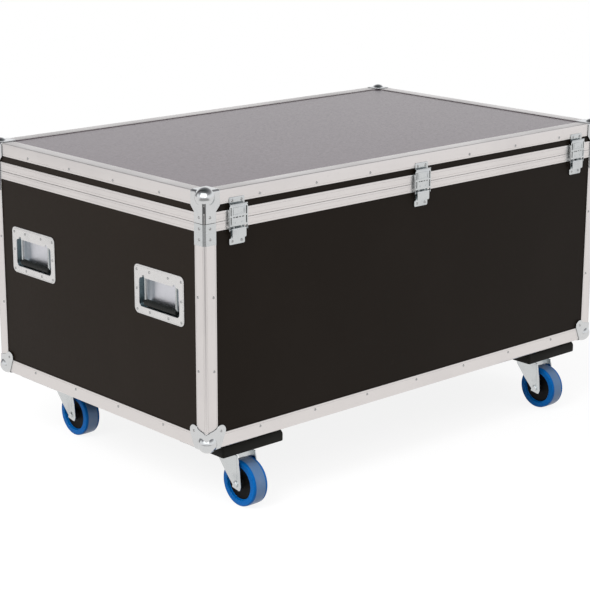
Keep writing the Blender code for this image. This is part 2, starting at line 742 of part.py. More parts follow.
def make_latch_loop(name, centre):
    half = LOOP_WIDTH / 2
    loop = latch_box(
        "draw", half, centre, (LOOP_FACE - LATCH_SHEET, LOOP_FACE), (-LOOP_BELOW, LOOP_ABOVE))
    for sign in (-1, 1):
        lug = latch_box(
            "lug", (sign * half, sign * (half - LATCH_SHEET)), centre,
            (LOOP_PIN_OUT - LUG_MARGIN, LOOP_FACE - TOUCH),
            (-LOOP_PIN_BELOW - LUG_MARGIN, -LOOP_BELOW + LATCH_SHEET))
        join(loop, lug)
    join(loop, latch_rod(
        "hook_bar", centre, half - LATCH_SHEET, HOOK_BAR_OUT, HOOK_BAR_HEIGHT, HOOK_BAR_RADIUS))
    cut(loop, latch_rod(
        "pin_hole", centre, LOOP_WIDTH, LOOP_PIN_OUT, -LOOP_PIN_BELOW, PIN_RADIUS + RUNNING))
    axis = (centre, FRONT - LOOP_PIN_OUT, SEAM - LOOP_PIN_BELOW)
    return as_part(loop, "latch_loop_" + name, ZINC, axis)


def make_latch_keeper(name, centre):
    half = KEEPER_WIDTH / 2
    keeper = latch_box("keeper", half, centre, (TOUCH, LATCH_OUT), (KEEPER_LOW, KEEPER_HIGH))
    join(keeper, latch_box(
        "lip", half - LATCH_SHEET, centre, (LATCH_OUT - TOUCH, KEEPER_LIP_OUT),
        (KEEPER_LOW, KEEPER_LOW + KEEPER_LIP_HEIGHT)))
    return as_part(keeper, "latch_keeper_" + name, ZINC, HINGE_POINT)


# Recessed handles: a dish let into the end panel and a sprung bail in it

class Handle:
    """One handle: distances run inwards from the end's outside face."""

    def __init__(self, end, side):
        self.name = end + "_" + side
        self.sign = ENDS[end]
        self.y = FRONT + HANDLE_FROM_SIDE if side == "front" else BACK - HANDLE_FROM_SIDE
        self.z = BOTTOM + HANDLE_CENTRE_HEIGHT
        self.face = PANEL_IN - TOUCH - HANDLE_SHEET

    def x(self, inset):
        return self.sign * (CASE_LENGTH / 2 - inset)

    def box(self, name, x, y, z):
        return box(
            name, (self.x(x[0]), self.x(x[1])), (self.y + y[0], self.y + y[1]),
            (self.z + z[0], self.z + z[1]))

    def cutout(self):
        half = PAN_HALF + CUTOUT_MARGIN
        low = -OPENING_BELOW - HANDLE_SHEET - CUTOUT_MARGIN
        return self.box("cutout", (-REACH, REACH), (-half, half), (low, PAN_TOP + CUTOUT_MARGIN))

    def make_dish(self):
        back = self.face + HANDLE_SHEET
        flange = plate(
            "flange",
            rounded_rectangle(
                (self.y - HANDLE_WIDTH / 2, self.y + HANDLE_WIDTH / 2),
                (self.z - HANDLE_HEIGHT / 2, self.z + HANDLE_HEIGHT / 2), HANDLE_CORNER),
            "YZ", *sorted((self.x(self.face), self.x(back))))
        wall = HANDLE_SHEET
        inner = PAN_HALF - wall
        pan = self.box(
            "pan", (back - TOUCH, PAN_DEPTH), (-PAN_HALF, PAN_HALF),
            (-OPENING_BELOW - wall, PAN_TOP))
        hollow = self.box(
            "hollow", (back, PAN_DEPTH - wall), (-inner, inner), (-OPENING_BELOW, PAN_TOP - wall))
        opening = plate(
            "opening",
            rounded_rectangle(
                (self.y - OPENING_WIDTH / 2, self.y + OPENING_WIDTH / 2),
                (self.z - OPENING_BELOW, self.z + OPENING_ABOVE), OPENING_CORNER),
            "YZ", *sorted((self.x(-REACH), self.x(back + wall))))
        join(flange, pan)
        cut(flange, hollow, opening)
        slot = BAIL_WIRE + SLOT_MARGIN
        for sign in (-1, 1):
            middle = sign * BAIL_HALF
            cut(flange, self.box(
                "slot", (-REACH, back + TOUCH), (middle - slot, middle + slot),
                (OPENING_ABOVE - wall, PIVOT_HEIGHT + slot)))
        pivot_x = self.x(PIVOT_DEPTH)
        pivot_z = self.z + PIVOT_HEIGHT
        cut(flange, cylinder(
            "pivot_hole", (pivot_x, self.y - HANDLE_WIDTH, pivot_z),
            (pivot_x, self.y + HANDLE_WIDTH, pivot_z), BAIL_WIRE + RUNNING))
        as_part(flange, "handle_dish_" + self.name, ZINC)

    def make_bail(self):
        x = self.x(PIVOT_DEPTH)
        pivot_z = self.z + PIVOT_HEIGHT
        grip_z = pivot_z - BAIL_DROP
        end = PAN_HALF - TOUCH
        half_grip = BAIL_HALF + GRIP_OVERHANG
        wire = bpy.data.curves.new("wire", "CURVE")
        wire.dimensions = "3D"
        wire.bevel_depth = BAIL_WIRE
        wire.bevel_resolution = 2
        wire.use_fill_caps = True
        high = arc((-BAIL_HALF - BAIL_BEND, pivot_z - BAIL_BEND), BAIL_BEND, 90, 0, 2)
        low = arc((-BAIL_HALF + BAIL_BEND, grip_z + BAIL_BEND), BAIL_BEND, 180, 270, 2)
        half = [(-end, pivot_z)] + high + low
        path = half + [(-u, v) for u, v in reversed(half)]
        line = wire.splines.new("POLY")
        line.points.add(len(path) - 1)
        for point, (u, v) in zip(line.points, path):
            point.co = (x, self.y + u, v, 1)
        bail = curve_to_solid(add_object("wire", wire))
        join(bail, cylinder(
            "grip", (x, self.y - half_grip, grip_z), (x, self.y + half_grip, grip_z),
            GRIP_RADIUS))
        as_part(bail, "handle_bail_" + self.name, GRIP, (x, self.y, pivot_z))


# Rear hinges: each lower leaf carries the pin, each upper leaf turns on it

def hinge_box(name, centre, x, out, height):
    return box(
        name, (centre + x[0], centre + x[1]), (BACK + out[0], BACK + out[1]),
        (SEAM + height[0], SEAM + height[1]))


def make_hinge(name, centre):
    half = HINGE_WIDTH / 2
    middle = KNUCKLE_MIDDLE / 2
    leaf = (TOUCH, TOUCH + HINGE_SHEET)
    web = (SEAM_GAP, SEAM_GAP + HINGE_SHEET)
    y = BACK + HINGE_OUT

    lower = hinge_box("leaf", centre, (-half, half), leaf, (-HINGE_LEAF, -web[0]))
    join(lower, hinge_box(
        "packing", centre, (TOUCH - half, half - TOUCH), (TOUCH - PANEL_IN, leaf[1] - TOUCH),
        (TOUCH - HINGE_LEAF, -BAND_LOWER - TOUCH)))
    for sign in (-1, 1):
        near = sign * (middle + KNUCKLE_GAP)
        far = sign * half
        across = sorted((near + sign * TOUCH, far - sign * TOUCH))
        join(lower, hinge_box(
            "web", centre, across, (2 * TOUCH, HINGE_OUT - TOUCH), (-web[1], -web[0] - TOUCH)))
        join(lower, cylinder(
            "knuckle", (centre + near, y, SEAM), (centre + far, y, SEAM), KNUCKLE_RADIUS))
    join(lower, cylinder(
        "pin", (centre - half + TOUCH, y, SEAM), (centre + half - TOUCH, y, SEAM), HINGE_PIN,
        PIN_SEGMENTS))
    as_part(lower, "hinge_lower_leaf_" + name, ZINC)

    upper = hinge_box("leaf", centre, (-half, half), leaf, (web[0], HINGE_LEAF))
    join(upper, hinge_box(
        "web", centre, (TOUCH - middle, middle - TOUCH), (2 * TOUCH, HINGE_OUT - TOUCH),
        (web[0] + TOUCH, web[1])))
    join(upper, cylinder(
        "knuckle", (centre - middle, y, SEAM), (centre + middle, y, SEAM), KNUCKLE_RADIUS))
    cut(upper, cylinder(
        "pin_hole", (centre - half, y, SEAM), (centre + half, y, SEAM), HINGE_PIN + RUNNING,
        PIN_SEGMENTS))
    return as_part(upper, "hinge_upper_leaf_" + name, ZINC, HINGE_POINT)


def carry(child, parent):
    """Parent a piece and leave it where it is."""
    child.parent = parent
    child.matrix_parent_inverse = parent.matrix_world.inverted()


make_panels()
make_base_edging()
make_lower_closure()
lid_pieces = [make_upper_closure(), *make_lid()]
lid_pieces += [make_lid_corner(corner) for corner in CORNERS]
for place in CORNERS:
    make_base_corner(place)

pairs = [make_castor(corner) for corner in CORNERS]

latch_places = {"left": LEFT + LATCH_FROM_END, "middle": 0.0, "right": RIGHT - LATCH_FROM_END}
for place, along in latch_places.items():
    make_latch_base(place, along)
    pairs.append((make_latch_lever(place, along), make_latch_loop(place, along)))
    lid_pieces.append(make_latch_keeper(place, along))

for case_end in ENDS:
    for case_side in SIDES:
        handle = Handle(case_end, case_side)
        handle.make_dish()
        handle.make_bail()

for case_end, direction in ENDS.items():
    lid_pieces.append(make_hinge(case_end, direction * (RIGHT - HINGE_FROM_END)))

lid_axis = bpy.data.objects.new("lid_axis", None)
lid_axis.location = HINGE_POINT
parts.objects.link(lid_axis)
bpy.context.view_layer.update()
for piece in lid_pieces:
    carry(piece, lid_axis)
for carrier, carried in pairs:
    carry(carried, carrier)
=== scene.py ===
import json
from math import acos, asin, atan2, cos, degrees, pi, radians, sin, tan

import bmesh
import bpy
from mathutils import Matrix, Vector

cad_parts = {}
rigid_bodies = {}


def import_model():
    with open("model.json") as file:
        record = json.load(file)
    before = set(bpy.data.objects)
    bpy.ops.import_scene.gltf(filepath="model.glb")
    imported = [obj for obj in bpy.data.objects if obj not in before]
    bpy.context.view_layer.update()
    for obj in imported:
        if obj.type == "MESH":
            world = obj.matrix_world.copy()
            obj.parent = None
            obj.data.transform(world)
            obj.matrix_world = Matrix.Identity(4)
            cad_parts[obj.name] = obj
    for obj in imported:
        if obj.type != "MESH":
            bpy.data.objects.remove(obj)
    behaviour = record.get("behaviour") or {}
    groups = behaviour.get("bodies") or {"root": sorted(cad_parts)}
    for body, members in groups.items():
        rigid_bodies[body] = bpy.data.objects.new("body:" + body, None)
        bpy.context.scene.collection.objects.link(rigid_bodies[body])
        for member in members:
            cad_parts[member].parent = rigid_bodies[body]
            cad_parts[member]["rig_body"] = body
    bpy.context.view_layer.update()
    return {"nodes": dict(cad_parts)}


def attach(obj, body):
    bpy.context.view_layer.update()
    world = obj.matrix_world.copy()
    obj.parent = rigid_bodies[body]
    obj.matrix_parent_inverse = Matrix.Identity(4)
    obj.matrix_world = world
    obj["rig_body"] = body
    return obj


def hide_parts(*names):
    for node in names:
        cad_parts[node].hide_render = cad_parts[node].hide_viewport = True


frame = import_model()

# The case, in metres: its outside faces, floor, seam and lid
HALF_LENGTH = 0.600
FRONT = -0.3635
BACK = 0.3705
MIDDLE = (FRONT + BACK) / 2
HALF_WIDTH = (BACK - FRONT) / 2
BOTTOM = 0.1536
SEAM = 0.6186
TOP = 0.6816
SEAM_GAP = 0.0005
TOUCH = 0.0003

# Edging and closure band
SHEET = 0.0018
BOTTOM_LEG = 0.032
POST_LEG = 0.030
LID_LEG = 0.029
TOP_LEG = 0.030
POCKET_IN = 0.0114
RING_IN = 0.0129
BAND_LOWER = 0.018
BAND_UPPER = 0.0205
EDGE_ROUND = 0.0040
GROOVE = 0.00045

# Ball corners
BALL_RADIUS = 0.020
BALL_INSET = 0.0125
PLATE_OUT = 0.0019
EAR_RADIUS = 0.013
EAR_INSET = 0.037
SKIRT_RADIUS = 0.026
TONGUE_HALF = 0.0303
TONGUE_LOW = 0.039
TONGUE_HIGH = 0.050
CORNER_LEG = 0.029
CORNER_WING = 0.039
WING_LOW = 0.022
WING_HIGH = 0.033
BRACE_HEIGHT = 0.044
FLUTE_HALF = 0.0035
FLUTE_DEPTH = 0.00025
TIP = 0.0045

# Castors
BOARD_LENGTH = 0.164
BOARD_WIDTH = 0.144
BOARD_CORNER = 0.005
BOARD_ROUND = 0.013
SWIVEL_FROM_END = 0.129
SWIVEL_FROM_SIDE = 0.077
WHEEL_RADIUS = 0.050
TRAIL = 0.045
CASTOR_HEIGHT = 0.126
PLATE_UNDER = CASTOR_HEIGHT - 0.003
RACE_HEIGHT = 0.010
CROWN_TOP = PLATE_UNDER - RACE_HEIGHT - TOUCH
FORK_INNER = 0.0226
FORK_OUTER = 0.0256
TREAD_FROM = 0.0468
TREAD_HALF = 0.0120

# Latches, handles and hinges
LATCHES = {"left": -0.518, "middle": 0.0, "right": 0.518}
LATCH_FOOT = 0.0015
LOOP_HALF = 0.0238
HANDLE_INSET = 0.146
HANDLE_Y = FRONT + HANDLE_INSET
HANDLE_Z = BOTTOM + 0.2955
PIVOT_Z = HANDLE_Z + 0.028
GRIP_Z = PIVOT_Z - 0.055
HINGE_FROM_MIDDLE = 0.300
HINGE_HALF = 0.040
HINGE_LEAF = 0.0023

# Rivets
PITCH = 0.1525
RIVET_RADIUS = 0.003
RIVET_HEIGHT = 0.0011
POST_RIVET = 0.022
CORNER_RIVET = 0.0135

ENDS = {"left": -1, "right": 1}
SIDES = {"front": -1, "back": 1}
PLACES = [(end, side) for end in ENDS for side in SIDES]
CORNERS = [(x_way, y_way) for x_way in (-1, 1) for y_way in (-1, 1)]


# Shapes

def link_in(name, data):
    made = bpy.data.objects.new(name, data)
    bpy.context.scene.collection.objects.link(made)
    return made


def as_object(name, shape, angle=32):
    """Turn a worked shape into an object whose place is in its mesh."""
    bmesh.ops.recalc_face_normals(shape, faces=shape.faces)
    mesh = bpy.data.meshes.new(name)
    shape.to_mesh(mesh)
    shape.free()
    mesh.shade_smooth()
    mesh.set_sharp_from_angle(angle=radians(angle))
    return link_in(name, mesh)


def absorb(shape, other):
    """Add one shape's faces to another."""
    mesh = bpy.data.meshes.new("step")
    bmesh.ops.recalc_face_normals(other, faces=other.faces)
    other.to_mesh(mesh)
    other.free()
    shape.from_mesh(mesh)
    bpy.data.meshes.remove(mesh)


def fillet(points, steps=4):
    """Round the corners of an outline of (u, v, radius)."""
    made = []
    count = len(points)
    for i, (u, v, radius) in enumerate(points):
        if not radius:
            made.append((u, v))
            continue
        here = Vector((u, v))
        before = (Vector(points[i - 1][:2]) - here).normalized()
        after = (Vector(points[(i + 1) % count][:2]) - here).normalized()
        half = acos(max(-1, min(1, before.dot(after)))) / 2
        reach = radius / tan(half)
        centre = here + (before + after).normalized() * (radius / sin(half))
        start = here + before * reach - centre
        end = here + after * reach - centre
        low = atan2(start.y, start.x)
        sweep = (atan2(end.y, end.x) - low + pi) % (2 * pi) - pi
        for k in range(steps + 1):
            turn = low + sweep * k / steps
            made.append((centre.x + radius * cos(turn), centre.y + radius * sin(turn)))
    return made


def arc(centre, radius, start, end, steps):
    turns = [radians(start + (end - start) * i / steps) for i in range(steps + 1)]
    return [(centre[0] + radius * cos(t), centre[1] + radius * sin(t)) for t in turns]


def round_rectangle(low_u, high_u, low_v, high_v, radius, steps=6):
    return (
        arc((high_u - radius, high_v - radius), radius, 0, 90, steps)
        + arc((low_u + radius, high_v - radius), radius, 90, 180, steps)
        + arc((low_u + radius, low_v + radius), radius, 180, 270, steps)
        + arc((high_u - radius, low_v + radius), radius, 270, 360, steps))


def upright_plate(centre, half, low, high, low_round, high_round):
    """A plate's outline: its middle, half its length, and its lower and upper edge."""
    return fillet([
        (centre - half, low, low_round), (centre + half, low, low_round),
        (centre + half, high, high_round), (centre - half, high, high_round)])


def at_corner(x_way, y_way, outline):
    """An outline worked inwards from one upright corner of the case."""
    return [(x_way * (HALF_LENGTH - u), MIDDLE + y_way * (HALF_WIDTH - v)) for u, v in outline]


PLANES = {
    "XY": lambda u, v, w: (u, v, w),
    "XZ": lambda u, v, w: (u, w, v),
    "YZ": lambda u, v, w: (w, u, v),
}


def add_sheet(shape, outline, plane, low, high, soften=0.0004, segments=2):
    """Add a flat outline with thickness and softened rims."""
    place = PLANES[plane]
    piece = bmesh.new()
    rims = [[piece.verts.new(place(u, v, w)) for u, v in outline] for w in (low, high)]
    piece.faces.new(rims[0])
    piece.faces.new(rims[1])
    count = len(outline)
    for i in range(count):
        k = (i + 1) % count
        piece.faces.new((rims[0][i], rims[0][k], rims[1][k], rims[1][i]))
    bmesh.ops.recalc_face_normals(piece, faces=piece.faces)
    if soften:
        ring = [e for e in piece.edges if e.calc_face_angle(0) > radians(50)]
        bmesh.ops.bevel(
            piece, geom=ring, offset=soften, segments=segments, profile=0.5, affect="EDGES",
            clamp_overlap=True)
    absorb(shape, piece)


def add_block(shape, x, y, z, soften=0.0004, segments=2):
    """Add a softened block between two values on each axis."""
    x, y, z = sorted(x), sorted(y), sorted(z)
    outline = [(x[0], z[0]), (x[1], z[0]), (x[1], z[1]), (x[0], z[1])]
    add_sheet(shape, outline, "XZ", y[0], y[1], soften, segments)


def add_loft(shape, rings):
    """Skin rings of equal counts and close both ends."""
    piece = bmesh.new()
    made = [[piece.verts.new(point) for point in ring] for ring in rings]
    count = len(rings[0])
    for near, far in zip(made, made[1:]):
        for i in range(count):
            k = (i + 1) % count
            piece.faces.new((near[i], near[k], far[k], far[i]))
    piece.faces.new(made[0])
    piece.faces.new(made[-1])
    absorb(shape, piece)


def add_loop(shape, rings):
    """Skin rings of equal counts and join the last one to the first."""
    piece = bmesh.new()
    made = [[piece.verts.new(point) for point in ring] for ring in rings]
    count = len(rings[0])
    for i, here in enumerate(made):
        following = made[(i + 1) % len(made)]
        for j in range(count):
            k = (j + 1) % count
            piece.faces.new((here[j], following[j], following[k], here[k]))
    absorb(shape, piece)


def add_turned(shape, profile, start, along, segments=32):
    """Add a shape turned about a line: profile of (distance along, radius), ends closed."""
    along = Vector(along).normalized()
    across = along.orthogonal().normalized()
    other = along.cross(across)
    turns = [2 * pi * i / segments for i in range(segments)]
    add_loft(shape, [
        [Vector(start) + along * reach + (across * cos(t) + other * sin(t)) * radius for t in turns]
        for reach, radius in profile])


def add_rod(shape, start, end, radius, soften=0.0003, segments=20):
    """Add a round bar with softened ends."""
    length = (Vector(end) - Vector(start)).length
    profile = [
        (0, radius - soften), (soften, radius), (length - soften, radius),
        (length, radius - soften)]
    add_turned(shape, profile, start, Vector(end) - Vector(start), segments)


def add_round_frame(shape, section):
    """Sweep a section of (inset, height) round the case, its upright corners rounded."""
    steps = 5
    rings = []
    for x_way, y_way in ((-1, -1), (1, -1), (1, 1), (-1, 1)):
        for i in range(steps + 1):
            turn = radians(90 * (i if x_way == y_way else steps - i) / steps)
            in_x = EDGE_ROUND * (1 - cos(turn))
            in_y = EDGE_ROUND * (1 - sin(turn))
            rings.append([
                (x_way * (HALF_LENGTH - inset - in_x),
                 MIDDLE + y_way * (HALF_WIDTH - inset - in_y), height)
                for inset, height in section])
    add_loop(shape, rings)


def ball_at(name, centre):
    shape = bmesh.new()
    bmesh.ops.create_uvsphere(
        shape, u_segments=56, v_segments=36, radius=BALL_RADIUS,
        matrix=Matrix.Translation(centre))
    return as_object(name, shape)


def block_at(name, x, y, z, soften=0):
    shape = bmesh.new()
    add_block(shape, x, y, z, soften, 6)
    return as_object(name, shape)


def sheet_at(name, outline, plane, low, high):
    shape = bmesh.new()
    add_sheet(shape, outline, plane, low, high, 0)
    return as_object(name, shape)


def mirrored(source, name, end, side):
    """A finished front left piece, or its copy for another corner of the case."""
    if (end, side) == ("left", "front"):
        return source
    flip_x, flip_y = end == "right", side == "back"
    mesh = source.data.copy()
    mesh.transform(Matrix.Translation((0, MIDDLE, 0)) @ Matrix.Diagonal(
        (-1 if flip_x else 1, -1 if flip_y else 1, 1, 1)) @ Matrix.Translation((0, -MIDDLE, 0)))
    if flip_x != flip_y:
        mesh.flip_normals()
    return link_in(name, mesh)


def worked_mesh(piece):
    """A plain mesh of an object with its modifiers applied."""
    bpy.context.view_layer.update()
    graph = bpy.context.evaluated_depsgraph_get()
    return bpy.data.meshes.new_from_object(piece.evaluated_get(graph))


def settle(piece):
    """Apply a piece's modifiers to its mesh."""
    mesh = worked_mesh(piece)
    piece.modifiers.clear()
    piece.data = mesh


def cut_away(piece, cutters, operation="DIFFERENCE"):
    for cutter in cutters:
        step = piece.modifiers.new("cut", "BOOLEAN")
        step.operation = operation
        step.solver = "EXACT"
        step.object = cutter
    settle(piece)
    for cutter in cutters:
        bpy.data.objects.remove(cutter, do_unlink=True)


def press(piece):
    """Give a joined shape the soft fillets of a pressing."""
    step = piece.modifiers.new("even", "REMESH")
    step.mode = "VOXEL"
    step.voxel_size = 0.0005
    step.use_smooth_shade = True
    soften = piece.modifiers.new("soften", "SMOOTH")
    soften.factor = 0.5
    soften.iterations = 3
    thin = piece.modifiers.new("thin", "DECIMATE")
    thin.ratio = 0.3
    settle(piece)
    piece.data.shade_smooth()


# Nodes

WHITE = (1, 1, 1, 1)


def feed(tree, node, inputs):
    """Give a node's inputs their values, or the outputs that feed them."""
    for key, value in inputs.items():
        if isinstance(value, bpy.types.NodeSocket):
            tree.links.new(value, node.inputs[key])
        else:
            node.inputs[key].default_value = value


def add_node(tree, kind, inputs=None, output=None, **settings):
    """Add a node with its settings and inputs, and give back the node or one output."""
    made = tree.nodes.new(kind)
    for name, value in settings.items():
        setattr(made, name, value)
    feed(tree, made, inputs or {})
    return made.outputs[output] if output else made


def reckon(tree, operation, first, second):
    """Work out one value from two."""
    return add_node(
        tree, "ShaderNodeMath", {0: first, 1: second}, "Value", operation=operation)


def smooth_step(tree, value, low, high, start=0.0, end=1.0):
    """Runs smoothly from start to end while a value goes from low to high."""
    return add_node(tree, "ShaderNodeMapRange", {
        "Value": value, "From Min": low, "From Max": high, "To Min": start, "To Max": end},
        "Result", interpolation_type="SMOOTHSTEP")


def mix_shaders(tree, share, first, second):
    return add_node(
        tree, "ShaderNodeMixShader", {"Fac": share, 1: first, 2: second}, "Shader")


def new_group(name, kind, inputs, outputs):
    """A node group: its tree, what its named inputs give and what its outputs take."""
    tree = bpy.data.node_groups.new(name, kind + "NodeTree")
    for title, (sort, value) in inputs.items():
        made = tree.interface.new_socket(
            name=title, in_out="INPUT", socket_type="NodeSocket" + sort)
        if value is not None:
            made.default_value = value
    for title, sort in outputs.items():
        tree.interface.new_socket(
            name=title, in_out="OUTPUT", socket_type="NodeSocket" + sort)
    given = tree.nodes.new("NodeGroupInput")
    result = tree.nodes.new("NodeGroupOutput")
    return tree, given.outputs, result


# Finishes

def make_grain_group():
    """Fine lines left by rolling or extrusion, running along the low-scale axes."""
    tree, given, result = new_group(
        "drawn_grain", "Shader",
        {"Stretch": ("Vector", (3, 3, 900)), "Low": ("Float", 0.3), "High": ("Float", 0.45)},
        {"Roughness": "Float", "Height": "Float"})
    place = add_node(tree, "ShaderNodeTexCoord", output="Object")
    stretched = add_node(
        tree, "ShaderNodeVectorMath", {0: place, 1: given["Stretch"]}, "Vector",
        operation="MULTIPLY")
    lines = add_node(
        tree, "ShaderNodeTexNoise", {"Vector": stretched, "Scale": 1.0, "Detail": 3.0}, "Fac")
    roughness = add_node(tree, "ShaderNodeMapRange", {
        "Value": lines, "From Min": 0.3, "From Max": 0.7, "To Min": given["Low"],
        "To Max": given["High"]}, "Result")
    feed(tree, result, {"Roughness": roughness, "Height": lines})
    return tree


def make_marks_group():
    """Handling marks: soft smudges with small scuffs among them."""
    tree, given, result = new_group(
        "handling_marks", "Shader",
        {"Clean": ("Color", WHITE), "Marked": ("Color", (0.8, 0.8, 0.8, 1)),
         "Smudge Scale": ("Float", 9.0), "Scuff Scale": ("Float", 140.0),
         "Amount": ("Float", 0.5)},
        {"Color": "Color"})
    place = add_node(tree, "ShaderNodeTexCoord", output="Object")
    masks = []
    for name, detail, low, high in (
            ("Smudge Scale", 4.0, 0.45, 0.75), ("Scuff Scale", 2.0, 0.66, 0.74)):
        noise = add_node(tree, "ShaderNodeTexNoise", {
            "Vector": place, "Scale": given[name], "Detail": detail}, "Fac")
        masks.append(smooth_step(tree, noise, low, high))
    share = reckon(tree, "MULTIPLY", reckon(tree, "MAXIMUM", *masks), given["Amount"])
    colour = add_node(
        tree, "ShaderNodeMix", {"Factor": share, "A": given["Clean"], "B": given["Marked"]},
        "Result", data_type="RGBA")
    feed(tree, result, {"Color": colour})
    return tree


GRAIN = make_grain_group()
MARKS = make_marks_group()


def make_finish(
        name, clean, marked, metallic, roughness, stretch, bump, marks=(9.0, 140.0, 0.5),
        specular=0.5):
    """A finish: base colour with handling marks, roughness and relief from a drawn grain.

    roughness is its lowest and highest, stretch the grain's scale along each axis, and marks
    the scale of the smudges, the scale of the scuffs and how much both show.
    """
    made = bpy.data.materials.new(name)
    made.use_nodes = True
    made.diffuse_color = (*clean, 1)
    tree = made.node_tree
    colour = add_node(tree, "ShaderNodeGroup", {
        "Clean": (*clean, 1), "Marked": (*marked, 1), "Smudge Scale": marks[0],
        "Scuff Scale": marks[1], "Amount": marks[2]}, "Color", node_tree=MARKS)
    grain = add_node(tree, "ShaderNodeGroup", {
        "Stretch": stretch, "Low": roughness[0], "High": roughness[1]}, node_tree=GRAIN).outputs
    relief = add_node(tree, "ShaderNodeBump", {
        "Strength": bump, "Distance": 0.0002, "Height": grain["Height"]}, "Normal")
    feed(tree, tree.nodes["Principled BSDF"], {
        "Metallic": metallic, "Specular IOR Level": specular, "Base Color": colour,
        "Roughness": grain["Roughness"], "Normal": relief})
    return made


SIDE_LAMINATE = make_finish(
    "side_laminate", (0.0125, 0.0088, 0.0060), (0.0165, 0.0120, 0.0088), 0.0, (0.34, 0.44),
    (160, 160, 160), 0.06, (4.0, 60.0, 0.5), specular=0.09)
# The lid top is the same laminate as the walls. Its lighter, pinker base colour is painted sheen,
# standing in for the bright room that the top mirrors.
TOP_LAMINATE_PAINTED_SHEEN = make_finish(
    "top_laminate_painted_sheen", (0.046, 0.027, 0.040), (0.058, 0.038, 0.051), 0.0, (0.16, 0.24),
    (160, 160, 160), 0.03, (3.0, 60.0, 0.5), specular=0.46)
BLACK_BOARD = make_finish(
    "black_board", (0.0085, 0.0085, 0.0072), (0.0140, 0.0140, 0.0120), 0.0, (0.42, 0.58),
    (60, 60, 240), 0.25, (12.0, 120.0, 0.6), specular=0.12)
RAIL = make_finish(
    "rail_aluminium", (0.80, 0.785, 0.775), (0.72, 0.705, 0.70), 1.0, (0.30, 0.42),
    (4, 4, 1300), 0.05, (7.0, 150.0, 0.5))
POST = make_finish(
    "post_aluminium", (0.80, 0.785, 0.775), (0.73, 0.715, 0.71), 1.0, (0.28, 0.44),
    (1300, 1300, 4), 0.06, (7.0, 150.0, 0.5))
ZINC = make_finish(
    "zinc_plate", (0.66, 0.70, 0.71), (0.50, 0.54, 0.56), 1.0, (0.16, 0.28),
    (260, 260, 260), 0.08, (24.0, 260.0, 0.6))
BALL_ZINC = make_finish(
    "ball_zinc", (0.70, 0.73, 0.74), (0.60, 0.64, 0.65), 1.0, (0.10, 0.20),
    (200, 200, 200), 0.06, (30.0, 240.0, 0.5))
# Zinc darkened to a dark grey for the shallow channel down the lid corners: painted shade in the
# channel.
FLUTE_PAINTED_SHADE = make_finish(
    "flute_painted_shade", (0.25, 0.26, 0.26), (0.20, 0.21, 0.21), 1.0, (0.30, 0.42),
    (260, 260, 260), 0.08, (24.0, 260.0, 0.6))
RIVET_METAL = make_finish(
    "rivet_metal", (0.56, 0.57, 0.57), (0.40, 0.41, 0.41), 1.0, (0.18, 0.30),
    (300, 300, 300), 0.05, (90.0, 400.0, 0.6))
# Near-black metal for the rivets' stems: painted shade of the hole in each rivet head.
STEM_PAINTED_SHADE = make_finish(
    "stem_painted_shade", (0.060, 0.060, 0.058), (0.110, 0.110, 0.105), 1.0, (0.30, 0.42),
    (300, 300, 300), 0.05, (90.0, 400.0, 0.6))
PLATE_ZINC = make_finish(
    "plate_zinc", (0.78, 0.79, 0.79), (0.62, 0.64, 0.65), 1.0, (0.24, 0.36),
    (260, 260, 260), 0.08, (24.0, 260.0, 0.5))
PAN_ZINC = make_finish(
    "pan_zinc", (0.74, 0.76, 0.81), (0.64, 0.67, 0.71), 1.0, (0.34, 0.46),
    (260, 260, 260), 0.08, (24.0, 260.0, 0.6))
# The pan's side walls: the same zinc pressing as the pan, darkened and tinted teal as painted shade
# and painted reflection of the grip and the pan's back.
PAN_WALL_PAINTED_SHADE = make_finish(
    "pan_wall_painted_shade", (0.26, 0.35, 0.38), (0.20, 0.27, 0.29), 1.0, (0.26, 0.38),
    (260, 260, 260), 0.08, (24.0, 260.0, 0.6))
RUBBER = make_finish(
    "grip_rubber", (0.0070, 0.0080, 0.0075), (0.0130, 0.0145, 0.0140), 0.0, (0.50, 0.65),
    (500, 500, 500), 0.30, (30.0, 300.0, 0.6), specular=0.3)
BLUE_TYRE = make_finish(
    "blue_tyre", (0.0005, 0.130, 0.450), (0.001, 0.145, 0.480), 0.0, (0.26, 0.38),
    (90, 90, 90), 0.10, (26.0, 200.0, 0.6), specular=0.10)
BLUE_TREAD = make_finish(
    "blue_tread", (0.105, 0.205, 0.385), (0.200, 0.245, 0.350), 0.0, (0.30, 0.46),
    (90, 90, 90), 0.10, (22.0, 160.0, 0.7), specular=0.6)
BLACK_HUB = make_finish(
    "black_hub", (0.0028, 0.0028, 0.0030), (0.0070, 0.0060, 0.0060), 0.0, (0.42, 0.56),
    (220, 220, 220), 0.15, (30.0, 200.0, 0.5), specular=0.10)


def dress(piece, node, finish, stands_for=True):
    """Give a piece its finish, its body and the node that it stands for."""
    if finish is not None:
        piece.data.materials.clear()
        piece.data.materials.append(finish)
    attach(piece, frame["nodes"][node]["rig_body"])
    if stands_for:
        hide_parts(node)
    return piece


def fit(shape, node, finish, name=None):
    """Make a worked shape the piece that stands for a node."""
    return dress(as_object(name or "formed_" + node, shape), node, finish)


def paint(piece, finish, test):
    """Give one more finish to the faces whose middle passes a test."""
    piece.data.materials.append(finish)
    for face in piece.data.polygons:
        if test(face.center):
            face.material_index = len(piece.data.materials) - 1


# Panels keep their solids

for panel in (
        "bottom_panel", "front_panel", "back_panel", "left_end_panel", "right_end_panel",
        "lid_walls", "lid_top_panel"):
    surface = frame["nodes"][panel].data
    surface.materials.clear()
    # The lid top takes the laminate with painted sheen in its base colour.
    surface.materials.append(TOP_LAMINATE_PAINTED_SHEEN if panel == "lid_top_panel" else SIDE_LAMINATE)


# Aluminium edging

def grooved(low, high):
    """A fine line across a face at inset 0: four outline points, from low to high."""
    return [(0, low, 0), (GROOVE, low + 0.0002, 0), (GROOVE, high - 0.0002, 0), (0, high, 0)]


